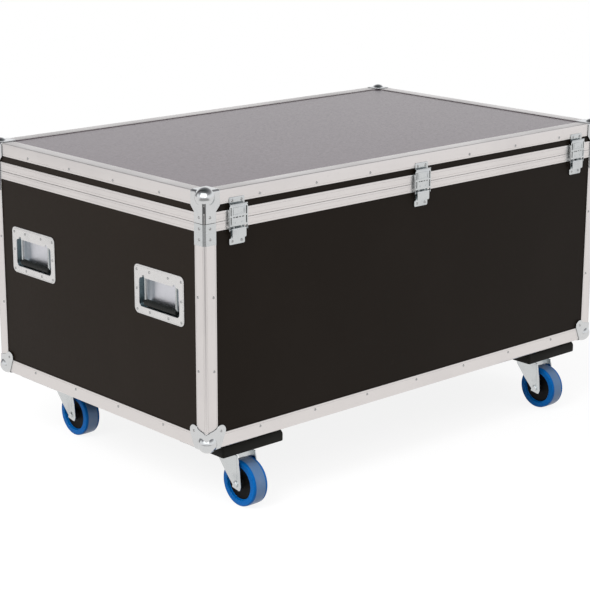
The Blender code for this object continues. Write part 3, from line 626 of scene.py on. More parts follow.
def make_base_edging():
    shape = bmesh.new()
    low = BOTTOM
    section = [(0, low, EDGE_ROUND)]
    section += grooved(low + 0.0275, low + 0.0284)
    section += [
        (0, low + BOTTOM_LEG, 0.0006), (SHEET, low + BOTTOM_LEG, 0.0004),
        (SHEET, low + SHEET, 0), (BOTTOM_LEG, low + SHEET, 0.0004), (BOTTOM_LEG, low, 0.0006)]
    add_round_frame(shape, fillet(section))
    leg = [(0, 0, EDGE_ROUND)]
    for start in (0.0052, 0.0262):
        leg += [
            (start, 0, 0), (start + 0.0002, GROOVE, 0), (start + 0.0007, GROOVE, 0),
            (start + 0.0009, 0, 0)]
    leg += [(POST_LEG, 0, 0.0006), (POST_LEG, SHEET, 0.0004), (SHEET, SHEET, 0)]
    other = [(v, u, r) for u, v, r in reversed(leg[1:-1])]
    for x_way, y_way in CORNERS:
        add_sheet(
            shape, at_corner(x_way, y_way, fillet(leg + other)), "XY",
            BOTTOM + BOTTOM_LEG + TOUCH, SEAM - BAND_LOWER - TOUCH, 0)
    return shape


def make_lid_edging():
    section = [(0, TOP, 0.0016), (TOP_LEG, TOP, 0.0006), (TOP_LEG, TOP - SHEET, 0.0004)]
    section += [(SHEET, TOP - SHEET, 0), (SHEET, TOP - LID_LEG, 0.0004), (0, TOP - LID_LEG, 0.0006)]
    section += grooved(TOP - 0.0254, TOP - 0.0245)
    shape = bmesh.new()
    add_round_frame(shape, fillet(section))
    return shape


def flute_outline():
    """The shallow channel down a corner plate's upright fold: its points and half angle."""
    fold = EDGE_ROUND + PLATE_OUT
    across = degrees(asin(FLUTE_HALF / fold))
    rims = [
        (EDGE_ROUND + fold * cos(radians(t)), EDGE_ROUND + fold * sin(radians(t)))
        for t in (225 + across, 225 - across)]
    deep = (rims[0][0] + rims[1][0]) / 2 + FLUTE_DEPTH / 2 ** 0.5
    return [rims[0], (deep, deep), rims[1]], across


def add_braces(shape):
    """The four corner braces under the seam, each with a channel down its upright fold."""
    out = PLATE_OUT
    rim = 0.0005
    middle = (EDGE_ROUND, EDGE_ROUND)
    flute, across = flute_outline()
    outline = [(CORNER_LEG, rim - out), (CORNER_LEG - rim, -out)]
    outline += arc(middle, EDGE_ROUND + out, 270, 225 + across, 3)[:-1] + flute
    outline += arc(middle, EDGE_ROUND + out, 225 - across, 180, 3)[1:]
    outline += [(-out, CORNER_LEG - rim), (rim - out, CORNER_LEG), (-TOUCH, CORNER_LEG)]
    outline += arc(middle, EDGE_ROUND + TOUCH, 180, 270, 6) + [(CORNER_LEG, -TOUCH)]
    for x_way, y_way in CORNERS:
        add_sheet(
            shape, at_corner(x_way, y_way, outline), "XY", SEAM - BRACE_HEIGHT,
            SEAM - SEAM_GAP / 2 - TOUCH, 0)


def make_lower_closure():
    """The band under the seam with its tongue, and the corner braces."""
    low = SEAM - BAND_LOWER
    high = SEAM - SEAM_GAP / 2
    section = [(0, low, 0.0005)] + grooved(low + 0.0042, low + 0.0050)
    section += grooved(low + 0.0130, low + 0.0137)
    section += [
        (0, high, 0.0006), (0.0051, high, 0), (0.0053, high + 0.003, 0.0005),
        (0.0079, high + 0.003, 0.0005), (0.0081, high, 0), (RING_IN, high, 0.0004),
        (RING_IN, low, 0.0003), (POCKET_IN, low, 0.0003), (POCKET_IN, high - 0.002, 0),
        (SHEET, high - 0.002, 0), (SHEET, low, 0.0003)]
    shape = bmesh.new()
    add_round_frame(shape, fillet(section, 3))
    add_braces(shape)
    return shape


def make_upper_closure():
    """The band over the seam with its groove."""
    low = SEAM + SEAM_GAP / 2
    high = SEAM + BAND_UPPER
    section = [(0, low, 0.0006)] + grooved(low + 0.0046, low + 0.0053)
    section += grooved(low + 0.0150, low + 0.0158)
    section += [
        (0, high, 0.0006), (SHEET, high, 0.0003), (SHEET, low + 0.0052, 0),
        (POCKET_IN, low + 0.0052, 0), (POCKET_IN, high, 0.0003), (RING_IN, high, 0.0003),
        (RING_IN, low, 0.0004), (0.0093, low, 0), (0.0093, low + 0.0035, 0),
        (0.0039, low + 0.0035, 0), (0.0039, low, 0)]
    shape = bmesh.new()
    add_round_frame(shape, fillet(section, 3))
    return shape


def on_brace(at):
    """Whether a place on the lower closure is on a corner brace."""
    out_x = abs(at.x) - HALF_LENGTH
    out_y = abs(at.y - MIDDLE) - HALF_WIDTH
    return at.z < SEAM - 0.001 and (
        max(out_x, out_y) > TOUCH / 2 or min(out_x, out_y) > -EDGE_ROUND)


edging = fit(make_base_edging(), "base_edging_frame", RAIL, "formed_base_edging")
paint(edging, POST, lambda at: BOTTOM + BOTTOM_LEG < at.z)
closure = fit(
    make_lower_closure(), "lower_closure_frame", RAIL, "formed_lower_closure")
paint(closure, ZINC, on_brace)
fit(make_upper_closure(), "upper_closure_frame", RAIL, "formed_upper_closure")
fit(make_lid_edging(), "lid_edging", RAIL)


# Ball corners: pressed plates with a ball, worked at the front left and mirrored

WEST = -HALF_LENGTH
FACES = (("XZ", WEST, FRONT), ("YZ", FRONT, WEST))


def ear_outline():
    apart = (EAR_INSET - BALL_INSET) * 2 ** 0.5
    tangent = degrees(acos((SKIRT_RADIUS - EAR_RADIUS) / apart))
    ear = arc((EAR_INSET, EAR_INSET), EAR_RADIUS, 45 - tangent, 45 + tangent, 14)
    skirt = arc((BALL_INSET, BALL_INSET), SKIRT_RADIUS, 45 + tangent, 405 - tangent, 40)
    return ear + skirt


def hollow_ball(height, inner_z):
    """The full ball, open towards the inside of the case so that it sits over the edging."""
    made = ball_at("ball", (WEST + BALL_INSET, FRONT + BALL_INSET, height))
    cut_away(made, [block_at("hollow", (WEST + SHEET, 0), (FRONT + SHEET, 0), inner_z)])
    return made


def make_base_corner():
    ears = ear_outline()
    far = 0.03
    piece = sheet_at(
        "formed_base_corner_front_left", [(WEST + u, BOTTOM + v) for u, v in ears], "XZ",
        FRONT - far, FRONT)
    skirt = arc((WEST + BALL_INSET, FRONT + BALL_INSET), SKIRT_RADIUS, 0, 354, 59)
    cut_away(piece, [
        sheet_at("plate", [(FRONT + u, BOTTOM + v) for u, v in ears], "YZ", WEST - far, WEST),
        sheet_at("plate", skirt, "XY", BOTTOM - far, BOTTOM)], "UNION")
    out = PLATE_OUT
    cut_away(piece, [block_at(
        "envelope", (WEST - out, WEST + 0.1), (FRONT - out, FRONT + 0.1),
        (BOTTOM - out, BOTTOM + 0.1), EDGE_ROUND + out)], "INTERSECT")
    cutters = [block_at(
        "inside", (WEST - TOUCH, WEST + 0.15), (FRONT - TOUCH, FRONT + 0.15),
        (BOTTOM - TOUCH, SEAM), EDGE_ROUND + TOUCH)]
    above = 0.07
    tongue = [(-far, TONGUE_LOW)] + [
        (TONGUE_HALF * sin(radians(t)),
         TONGUE_HIGH - (TONGUE_HIGH - TONGUE_LOW) * cos(radians(t)))
        for t in range(0, 91, 9)] + [(TONGUE_HALF, above), (-far, above)]
    cutters += [
        sheet_at("tongue", [(base + u, BOTTOM + v) for u, v in tongue], plane, outside - far,
                 outside - TOUCH / 2)
        for plane, base, outside in FACES]
    cutters.append(block_at(
        "tip", (WEST - far, WEST + TIP), (FRONT - far, FRONT + TIP), (0, BOTTOM + TIP)))
    cut_away(piece, cutters)
    cut_away(piece, [hollow_ball(BOTTOM + BALL_INSET, (BOTTOM + SHEET, SEAM))], "UNION")
    press(piece)
    return piece


def make_lid_corner():
    high = TOP + PLATE_OUT
    low = SEAM + SEAM_GAP / 2
    out = PLATE_OUT
    wing = CORNER_WING
    far = 0.05
    piece = block_at(
        "formed_lid_corner_front_left", (WEST - out, WEST + wing), (FRONT - out, FRONT + wing),
        (low, high))
    cut_away(piece, [block_at(
        "envelope", (WEST - out, 0), (FRONT - out, 0), (0, high), EDGE_ROUND + out)], "INTERSECT")
    slope = [
        (CORNER_LEG, 0), (CORNER_LEG, SEAM + WING_LOW), (wing, SEAM + WING_HIGH),
        (wing + far, SEAM + WING_HIGH), (wing + far, 0)]
    cutters = [block_at(
        "inside", (WEST - TOUCH, 0.1), (FRONT - TOUCH, 0.1), (0, TOP + TOUCH),
        EDGE_ROUND + TOUCH)]
    cutters += [
        sheet_at("slope", [(base + u, v) for u, v in slope], plane, outside - far,
                 outside - TOUCH / 2)
        for plane, base, outside in FACES]
    flute, _ = flute_outline()
    beyond = (-2 * out, -2 * out)
    cutters.append(sheet_at(
        "flute", [(WEST + u, FRONT + v) for u, v in [beyond] + flute], "XY", low - 0.01,
        TOP - BALL_INSET))
    cutters.append(block_at(
        "tip", (WEST - 0.03, WEST + TIP), (FRONT - 0.03, FRONT + TIP), (TOP - TIP, TOP + 0.03)))
    cut_away(piece, cutters)
    cut_away(piece, [hollow_ball(TOP - BALL_INSET, (0, TOP - SHEET))], "UNION")
    press(piece)
    deep = 2 * flute[1][0]
    flute_end = TOP - BALL_INSET - 0.0095

    def in_flute_painted_shade(at):
        u, v = at.x - WEST, at.y - FRONT
        return (abs(u - v) < FLUTE_HALF * 2 ** 0.5 and abs(u + v - deep) < 0.0011
                and at.z < flute_end)

    piece.data.materials.append(BALL_ZINC)
    # The channel down the fold gets the dark finish, which is painted shade.
    paint(piece, FLUTE_PAINTED_SHADE, in_flute_painted_shade)
    return piece


base_corner = make_base_corner()
lid_corner = make_lid_corner()
for end, side in PLACES:
    for source, kind, finish in (
            (base_corner, "base_corner_", BALL_ZINC), (lid_corner, "lid_corner_", None)):
        node = kind + side + "_" + end
        dress(mirrored(source, "formed_" + node, end, side), node, finish)


# Castors

def make_board(place, x, y):
    low, high = CASTOR_HEIGHT + TOUCH, BOTTOM - TOUCH
    levels = [(0.0022, low), (0.0007, low + 0.0008), (0, low + 0.0024)]
    levels += [
        (BOARD_ROUND * (1 - cos(radians(t))), high - BOARD_ROUND * (1 - sin(radians(t))))
        for t in range(0, 91, 10)]
    shape = bmesh.new()
    add_loft(shape, [
        [(u, v, height) for u, v in round_rectangle(
            x - BOARD_LENGTH / 2 + inset, x + BOARD_LENGTH / 2 - inset,
            y - BOARD_WIDTH / 2 + inset, y + BOARD_WIDTH / 2 - inset,
            max(BOARD_CORNER - inset, 0.001))]
        for inset, height in levels])
    fit(shape, "castor_board_" + place, BLACK_BOARD)


def make_top_plate(place, x, y):
    """The plate under the board with its ball race and four bolt heads."""
    shape = bmesh.new()
    add_sheet(
        shape, round_rectangle(x - 0.0525, x + 0.0525, y - 0.0425, y + 0.0425, 0.016), "XY",
        PLATE_UNDER, CASTOR_HEIGHT, 0.0006)
    add_turned(
        shape, [(0, 0.0215), (0.0012, 0.0235), (0.0046, 0.024), (0.0052, 0.0225),
                (0.0058, 0.024), (0.0095, 0.0238), (0.0101, 0.0215)],
        (x, y, PLATE_UNDER - RACE_HEIGHT), (0, 0, 1), 40)
    for x_way, y_way in CORNERS:
        add_turned(
            shape, [(0, 0.0058), (0.0042, 0.0058), (0.0046, 0.0054)],
            (x + x_way * 0.040, y + y_way * 0.030, PLATE_UNDER - 0.0044), (0, 0, 1), 6)
    fit(shape, "castor_plate_" + place, ZINC)


def make_fork(place, x, y, axle_y, axle_z):
    """Crown and two ribbed legs, the axle with its bolt heads, and the swivel's cap."""
    shape = bmesh.new()
    add_sheet(
        shape, round_rectangle(
            x - FORK_OUTER, x + FORK_OUTER, y - 0.034, y + 0.014, 0.004), "XY",
        CROWN_TOP - 0.003, CROWN_TOP, 0.0008)
    leg = fillet([
        (y - 0.048, CROWN_TOP, 0.002), (axle_y - 0.0115, axle_z + 0.030, 0.020),
        (axle_y - 0.0145, axle_z - 0.004, 0.003), (axle_y - 0.0110, axle_z - 0.0135, 0.004),
        (axle_y + 0.0130, axle_z - 0.0090, 0.0015), (axle_y + 0.0115, axle_z - 0.0035, 0.002),
        (y - 0.010, axle_z + 0.0205, 0.008), (y + 0.014, CROWN_TOP - 0.014, 0.004),
        (y + 0.017, CROWN_TOP, 0.002)])
    rib = round_rectangle(y - 0.0480, y - 0.0462, axle_z + 0.0085, CROWN_TOP - 0.004, 0.0008, 3)
    for way in (-1, 1):
        inner, outer = sorted((x + way * FORK_INNER, x + way * FORK_OUTER))
        add_sheet(shape, leg, "YZ", inner, outer, 0.0007)
        face = x + way * FORK_OUTER
        add_sheet(shape, rib, "YZ", *sorted((face - way * 0.0008, face + way * 0.0007)), 0.0004)
        head = x + way * (FORK_OUTER - 0.001)
        add_turned(
            shape, [(0, 0.0074), (0.0007, 0.0078), (0.0012, 0.0074)],
            (head + way * 0.0006, axle_y, axle_z), (way, 0, 0), 28)
        add_turned(
            shape, [(0, 0.0066), (0.0038, 0.0066), (0.0046, 0.0056)],
            (head + way * 0.0004, axle_y, axle_z), (way, 0, 0), 6)
    add_rod(shape, (x - FORK_OUTER, axle_y, axle_z), (x + FORK_OUTER, axle_y, axle_z), 0.004)
    add_turned(
        shape, [(0, 0.0085), (0.0012, 0.011), (0.006, 0.011)],
        (x, y, CROWN_TOP - 0.006), (0, 0, 1), 28)
    fit(shape, "castor_fork_" + place, ZINC)


def make_wheel(place, x, axle_y, axle_z):
    """A tyre with its tread on a hub."""
    half = [(0.0125, 0.0345), (0.0135, 0.0360), (0.0182, 0.0366), (0.0190, 0.0374)]
    half += arc((0.0158, 0.0462), 0.0032, 0, 84, 6) + [(0.0125, 0.0497), (0.0080, 0.0499)]
    section = half + [(0, WHEEL_RADIUS)] + [(-u, v) for u, v in reversed(half)]
    segments = 72
    turns = [2 * pi * i / segments for i in range(segments)]
    shape = bmesh.new()
    add_loop(shape, [
        [(x + u, axle_y + v * cos(t), axle_z + v * sin(t)) for u, v in section] for t in turns])
    tyre = fit(shape, "castor_wheel_" + place, BLUE_TYRE, "formed_tyre_" + place)
    paint(tyre, BLUE_TREAD, lambda at: abs(at.x - x) < TREAD_HALF and Vector(
        (at.y - axle_y, at.z - axle_z)).length > TREAD_FROM)

    shape = bmesh.new()
    profile = [
        (-0.022, 0.0085), (-0.0216, 0.0098), (-0.0140, 0.0128), (-0.0132, 0.0150),
        (-0.0126, 0.0320), (-0.0134, 0.0338), (-0.0130, 0.0352), (0.0130, 0.0352),
        (0.0134, 0.0338), (0.0126, 0.0320), (0.0132, 0.0150), (0.0140, 0.0128),
        (0.0216, 0.0098), (0.022, 0.0085)]
    add_turned(shape, profile, (x, axle_y, axle_z), (1, 0, 0), 56)
    hub = as_object("formed_hub_" + place, shape)
    dress(hub, "castor_wheel_" + place, BLACK_HUB, False)


for end, side in PLACES:
    place = side + "_" + end
    x = ENDS[end] * (HALF_LENGTH - SWIVEL_FROM_END)
    y = MIDDLE + SIDES[side] * (HALF_WIDTH - SWIVEL_FROM_SIDE)
    make_board(place, x, y)
    make_top_plate(place, x, y)
    make_fork(place, x, y, y - TRAIL, WHEEL_RADIUS)
    make_wheel(place, x, y - TRAIL, WHEEL_RADIUS)


# Draw latches, worked outwards from the front and up and down from the seam

def latch_block(shape, x, out, height, soften=0.0004):
    add_block(
        shape, x, (FRONT - out[0], FRONT - out[1]), (SEAM + height[0], SEAM + height[1]), soften)


def latch_sheet(shape, outline, out, soften=0.0004):
    add_sheet(
        shape, [(u, SEAM + v) for u, v in outline], "XZ", FRONT - out[1], FRONT - out[0], soften)


def latch_rod(shape, centre, half, out, height, radius):
    y, z = FRONT - out, SEAM + height
    add_rod(shape, (centre - half, y, z), (centre + half, y, z), radius, 0.0002, 16)


def make_latch_base(name, centre):
    shape = bmesh.new()
    foot = fillet([
        (centre - 0.020, -0.0505, 0.003), (centre + 0.020, -0.0505, 0.003),
        (centre + 0.020, -0.0375, 0.002), (centre + 0.0158, -0.0375, 0.001),
        (centre + 0.0158, -0.0183, 0.001), (centre - 0.0158, -0.0183, 0.001),
        (centre - 0.0158, -0.0375, 0.001), (centre - 0.020, -0.0375, 0.002)])
    latch_sheet(shape, foot, (-0.0018, LATCH_FOOT))
    latch_block(
        shape, (centre - 0.0155, centre + 0.0155), (TOUCH, LATCH_FOOT), (-0.0195, -0.0024))
    for way in (-1, 1):
        side = (centre + way * 0.0155, centre + way * 0.0143)
        latch_block(shape, side, (0.0012, 0.0052), (-0.0145, -0.0095), 0.0003)
    latch_rod(shape, centre, 0.0152, 0.0037, -0.012, 0.001)
    fit(shape, "latch_base_" + name, ZINC)


def make_latch_lever(name, centre):
    shape = bmesh.new()
    face = upright_plate(centre, 0.0180, -0.037, -0.017, 0.003, 0.0012)
    latch_sheet(shape, face, (0.0076, 0.0088), 0.0005)
    for way in (-1, 1):
        side = (centre + way * 0.0137, centre + way * 0.0125)
        latch_block(shape, side, (0.0038, 0.0085), (-0.0217, -0.0137), 0.0003)
        latch_block(shape, side, (0.0021, 0.0053), (-0.0154, -0.012), 0.0003)
        eye = (centre + way * 0.0125, FRONT - 0.0037, SEAM - 0.012)
        add_rod(shape, eye, (centre + way * 0.0137, eye[1], eye[2]), 0.0019, 0.0002, 20)
    latch_block(
        shape, (centre - 0.0165, centre + 0.0165), (0.0085, 0.0090), (-0.0225, -0.0205), 0.0002)
    latch_rod(shape, centre, 0.0222, 0.0048, -0.020, 0.001)
    fit(shape, "latch_lever_" + name, ZINC)


def make_latch_loop(name, centre):
    """The draw plate: slotted, with upright ribs, a pressed frame, side walls and hook bar."""
    shape = bmesh.new()
    plate = upright_plate(centre, LOOP_HALF, -0.013, 0.0295, 0.001, 0.006)
    latch_sheet(shape, plate, (0.0058, 0.0070), 0.0005)
    draw = as_object("draw_plate", shape)
    slots = [
        ((way * 0.0184, way * 0.0212), height)
        for way in (-1, 1) for height in ((0.0085, 0.0245), (-0.0095, 0.0055))]
    slots += [((start, end), (0.0036, 0.0056)) for start, end in (
        (-0.0140, -0.0105), (-0.0085, -0.0015), (0.0012, 0.0050), (0.0080, 0.0135))]
    cut_away(draw, [block_at(
        "slot", (centre + u[0], centre + u[1]), (FRONT - 0.02, FRONT), (SEAM + v[0], SEAM + v[1]))
        for u, v in slots])
    shape = bmesh.new()
    shape.from_mesh(draw.data)
    bpy.data.objects.remove(draw, do_unlink=True)
    for way in (-1, 1):
        for inner in (0.0176, 0.0212):
            latch_block(
                shape, (centre + way * inner, centre + way * (inner + 0.0008)),
                (0.0024, 0.0064), (-0.0095, 0.0245), 0)
    wide, low, high, bar = 0.0145, 0.0095, 0.0245, 0.0013
    for u, v in (
            ((-wide, wide), (low, low + bar)), ((-wide, wide), (high - bar, high)),
            ((-wide, bar - wide), (low, high)), ((wide - bar, wide), (low, high))):
        latch_block(shape, (centre + u[0], centre + u[1]), (0.0066, 0.0078), v, 0.0005)
    wall = LOOP_HALF - 0.0012
    for way in (-1, 1):
        latch_block(
            shape, (centre + way * LOOP_HALF, centre + way * wall), (0.0029, 0.0067),
            (-0.0219, 0.0240), 0.0003)
        add_turned(
            shape, [(0, 0.0017), (0.0009, 0.0015), (0.0013, 0.0008)],
            (centre + way * 0.0085, FRONT - 0.0068, SEAM - 0.0062), (0, -1, 0), 14)
    latch_rod(shape, centre, wall, 0.0064, 0.030, 0.0017)
    fit(shape, "latch_loop_" + name, ZINC)


def make_latch_keeper(name, centre):
    """The toothed plate on the lid that the loop hooks over."""
    shape = bmesh.new()
    keeper = upright_plate(centre, 0.0195, 0.0275, 0.044, 0.0008, 0.0025)
    latch_sheet(shape, keeper, (TOUCH, LATCH_FOOT))
    teeth = 9
    pitch = 0.0366 / teeth
    for i in range(teeth):
        start = centre - 0.0183 + i * pitch
        latch_block(
            shape, (start, start + pitch * 0.72), (0.0012, 0.0040), (0.0275, 0.0300), 0.0003)
    fit(shape, "latch_keeper_" + name, ZINC)


for name, centre in LATCHES.items():
    make_latch_base(name, centre)
    make_latch_lever(name, centre)
    make_latch_loop(name, centre)
    make_latch_keeper(name, centre)


# Recessed handles, worked at the front of the left end and mirrored

# The dish as rings, from its pan out over the plate's face, round the rim and back behind the
# pan: how far in from the end, half its length, lower and upper edge, and corner radius
DISH_RINGS = (
    (0.0185, 0.0585, -0.0300, 0.0265, 0.006),
    (0.0180, 0.0612, -0.0328, 0.0293, 0.008),
    (0.0160, 0.0628, -0.0344, 0.0311, 0.008),
    (0.0030, 0.0652, -0.0358, 0.0333, 0.007),
    (0.0019, 0.0652, -0.0359, 0.0333, 0.007),
    (0.00185, 0.0650, -0.0360, 0.0255, 0.0085),
    (0.0007, 0.0650, -0.0360, 0.0255, 0.0085),
    (0.0003, 0.0662, -0.0372, 0.0267, 0.0095),
    (0.0003, 0.0666, -0.0376, 0.0271, 0.0098),
    (0.0003, 0.0758, -0.0473, 0.0473, 0.0084),
    (0.0003, 0.0762, -0.0477, 0.0477, 0.0088),
    (0.0007, 0.0768, -0.0483, 0.0483, 0.0094),
    (0.0007, 0.0774, -0.0489, 0.0489, 0.0098),
    (0.0003, 0.0780, -0.0495, 0.0495, 0.0104),
    (0.0003, 0.0794, -0.0509, 0.0509, 0.0114),
    (0.0006, 0.0800, -0.0515, 0.0515, 0.0120),
    (0.0018, 0.0800, -0.0515, 0.0515, 0.0120),
    (0.0019, 0.0668, -0.0374, 0.0349, 0.0080),
    (0.0170, 0.0644, -0.0358, 0.0328, 0.0080),
    (0.0195, 0.0610, -0.0330, 0.0296, 0.0080),
)


def make_dish():
    shape = bmesh.new()
    add_loft(shape, [
        [(WEST + inset, u, v) for u, v in round_rectangle(
            HANDLE_Y - half, HANDLE_Y + half, HANDLE_Z + low, HANDLE_Z + high, radius)]
        for inset, half, low, high, radius in DISH_RINGS])
    piece = as_object("formed_handle_dish_left_front", shape, 40)
    cut_away(piece, [
        sheet_at("bite", arc((HANDLE_Y + way * 0.050, HANDLE_Z + 0.0262), 0.0046, 0, 345, 23),
                 "YZ", WEST - 0.01, WEST + 0.0024)
        for way in (-1, 1)])
    piece.data.shade_smooth()
    piece.data.set_sharp_from_angle(angle=radians(40))
    for finish in (PLATE_ZINC, PAN_ZINC, PAN_WALL_PAINTED_SHADE):
        piece.data.materials.append(finish)
    # Inside the pan the back takes the pan finish and the side walls take the darker one, which is
    # painted shade and reflection.
    for face in piece.data.polygons:
        if face.center.x > WEST + 0.0022:
            face.material_index = 2 if abs(face.normal.x) < 0.5 else 1
    return piece


def make_bail():
    """The bent wire, and the ribbed rubber grip on it."""
    x = WEST + 0.007
    bend = 0.0053
    high = arc((-0.050 - bend, PIVOT_Z - bend), bend, 90, 0, 6)
    low = arc((-0.050 + bend, GRIP_Z + bend), bend, 180, 270, 6)
    half = [(-0.0665, PIVOT_Z)] + high + low
    path = half + [(-u, v) for u, v in reversed(half)]
    curve = bpy.data.curves.new("wire", "CURVE")
    curve.dimensions = "3D"
    curve.bevel_depth = 0.0033
    curve.bevel_resolution = 4
    curve.use_fill_caps = True
    line = curve.splines.new("POLY")
    line.points.add(len(path) - 1)
    for point, (u, v) in zip(line.points, path):
        point.co = (x, HANDLE_Y + u, v, 1)
    holder = link_in("wire", curve)
    shape = bmesh.new()
    shape.from_mesh(worked_mesh(holder))
    bmesh.ops.remove_doubles(shape, verts=shape.verts, dist=0.00001)
    bpy.data.objects.remove(holder, do_unlink=True)
    wire = as_object("formed_bail_left_front", shape, 50)
    shape = bmesh.new()
    reach = 0.104
    profile = [(0, 0.0050), (0.0006, 0.0064), (0.0018, 0.0070)]
    ribs = 12
    for i in range(ribs):
        start = 0.010 + i * (reach - 0.020) / ribs
        profile += [(start, 0.0070), (start + 0.0008, 0.0067), (start + 0.0016, 0.0070)]
    profile += [(reach - 0.0018, 0.0070), (reach - 0.0006, 0.0064), (reach, 0.0050)]
    add_turned(shape, profile, (x, HANDLE_Y - reach / 2, GRIP_Z), (0, 1, 0), 32)
    return wire, as_object("formed_grip_left_front", shape, 40)


dish = make_dish()
wire, grip = make_bail()
for end, side in PLACES:
    for source, kind, node, finish, slot in (
            (dish, "handle_dish_", "handle_dish_", None, "zinc"),
            (wire, "bail_", "handle_bail_", ZINC, "grip"),
            (grip, "grip_", "handle_bail_", RUBBER, "grip")):
        place = end + "_" + side
        made = mirrored(source, "formed_" + kind + place, end, side)
        dress(made, node + place, finish, source is not grip)


# Rear hinges

def make_hinge(end):
    centre = ENDS[end] * HINGE_FROM_MIDDLE
    axis = BACK + 0.0068
    leaf = (BACK + TOUCH, BACK + HINGE_LEAF)
    pin_half = HINGE_HALF - TOUCH
    shape = bmesh.new()
    lower = upright_plate(centre, HINGE_HALF, SEAM - 0.034, SEAM - 0.0005, 0.004, 0.0004)
    add_sheet(shape, lower, "XZ", *leaf, 0.0004)
    add_block(
        shape, (centre - pin_half, centre + pin_half), (BACK - 0.0018, BACK + 0.001),
        (SEAM - 0.0337, SEAM - 0.0183), 0.0002)
    for way in (-1, 1):
        near, far = centre + way * 0.0140, centre + way * HINGE_HALF
        add_block(
            shape, (near + way * TOUCH, far - way * TOUCH), (BACK + 0.0006, axis - TOUCH),
            (SEAM - 0.0025, SEAM - 0.0008), 0.0003)
        add_rod(shape, (near, axis, SEAM), (far, axis, SEAM), 0.0042, 0.0004, 24)
    add_rod(shape, (centre - pin_half, axis, SEAM), (centre + pin_half, axis, SEAM), 0.0018)
    fit(shape, "hinge_lower_leaf_" + end, ZINC, "formed_hinge_lower_" + end)
    shape = bmesh.new()
    upper = upright_plate(centre, HINGE_HALF, SEAM + 0.0005, SEAM + 0.034, 0.0004, 0.004)
    add_sheet(shape, upper, "XZ", *leaf, 0.0004)
    add_block(
        shape, (centre - 0.0132, centre + 0.0132), (BACK + 0.0006, axis - TOUCH),
        (SEAM + 0.0008, SEAM + 0.0025), 0.0003)
    add_rod(shape, (centre - 0.0135, axis, SEAM), (centre + 0.0135, axis, SEAM), 0.0042, 0.0004, 24)
    fit(shape, "hinge_upper_leaf_" + end, ZINC, "formed_hinge_upper_" + end)


for end in ENDS:
    make_hinge(end)


# Rivets, set on points that each hold the way they face

def make_rivet_tree():
    """A domed head with its broken stem in the middle, on each point, turned to face out. The stem
    is painted near black: painted shade of the hole in the head.
    """
    tree, given, result = new_group(
        "rivets", "Geometry",
        {"Points": ("Geometry", None), "Head Radius": ("Float", RIVET_RADIUS),
         "Head Height": ("Float", RIVET_HEIGHT), "Finish": ("Material", None),
         "Stem Painted Shade": ("Material", None)},
        {"Rivets": "Geometry"})
    radius, height = given["Head Radius"], given["Head Height"]
    lip_radius = reckon(tree, "MULTIPLY", radius, 0.4)
    circle = add_node(tree, "GeometryNodeCurvePrimitiveCircle", {
        "Resolution": 16, "Radius": reckon(tree, "MULTIPLY", radius, 0.6)}, "Curve")
    lip = add_node(tree, "GeometryNodeCurvePrimitiveCircle", {
        "Resolution": 8, "Radius": lip_radius}, "Curve")
    dome = add_node(
        tree, "GeometryNodeCurveToMesh", {"Curve": circle, "Profile Curve": lip}, "Mesh")
    size = add_node(tree, "ShaderNodeCombineXYZ", {
        "X": 1.0, "Y": 1.0, "Z": reckon(tree, "DIVIDE", height, lip_radius)}, "Vector")
    flat = add_node(
        tree, "GeometryNodeTransform", {"Geometry": dome, "Scale": size}, "Geometry")
    stem = add_node(tree, "GeometryNodeMeshCylinder", {
        "Vertices": 10, "Radius": reckon(tree, "MULTIPLY", radius, 0.42),
        "Depth": reckon(tree, "MULTIPLY", height, 0.7)}, "Mesh")
    both = add_node(tree, "GeometryNodeJoinGeometry")
    for made, finish in ((flat, "Finish"), (stem, "Stem Painted Shade")):
        coated = add_node(tree, "GeometryNodeSetMaterial", {
            "Geometry": made, "Material": given[finish]}, "Geometry")
        feed(tree, both, {"Geometry": coated})
    way = add_node(
        tree, "GeometryNodeInputNamedAttribute", {"Name": "facing"}, "Attribute",
        data_type="FLOAT_VECTOR")
    turn = add_node(
        tree, "FunctionNodeAlignRotationToVector", {"Vector": way}, "Rotation", axis="Z")
    spread = add_node(tree, "GeometryNodeInstanceOnPoints", {
        "Points": given["Points"], "Instance": both.outputs["Geometry"], "Rotation": turn},
        "Instances")
    real = add_node(tree, "GeometryNodeRealizeInstances", {"Geometry": spread}, "Geometry")
    feed(tree, result, {"Rivets": real})
    return tree


RIVET_TREE = make_rivet_tree()


def set_rivets(name, node, places):
    """Rivets of one body: places are (point, way they face)."""
    mesh = bpy.data.meshes.new(name)
    mesh.from_pydata([point for point, _ in places], [], [])
    facing = mesh.attributes.new("facing", "FLOAT_VECTOR", "POINT")
    for value, (_, way) in zip(facing.data, places):
        value.vector = way
    made = link_in(name, mesh)
    step = made.modifiers.new("rivets", "NODES")
    step.node_group = RIVET_TREE
    values = {
        "Head Radius": RIVET_RADIUS, "Head Height": RIVET_HEIGHT, "Finish": RIVET_METAL,
        "Stem Painted Shade": STEM_PAINTED_SHADE}
    for item in RIVET_TREE.interface.items_tree:
        if item.in_out == "INPUT" and item.name in values:
            step[item.identifier] = values[item.name]
    settle(made)
    made.data.shade_smooth()
    dress(made, node, None, False)


def round_the_case(height, along_x):
    """Rivets at one height on all four sides of the case."""
    made = []
    for way in (-1, 1):
        made += [((x, MIDDLE + way * HALF_WIDTH, height), (0, way, 0)) for x in along_x]
    for way in (-1, 1):
        made += [
            ((way * HALF_LENGTH, MIDDLE + PITCH * (i + 0.5), height), (way, 0, 0))
            for i in range(-2, 2)]
    return made


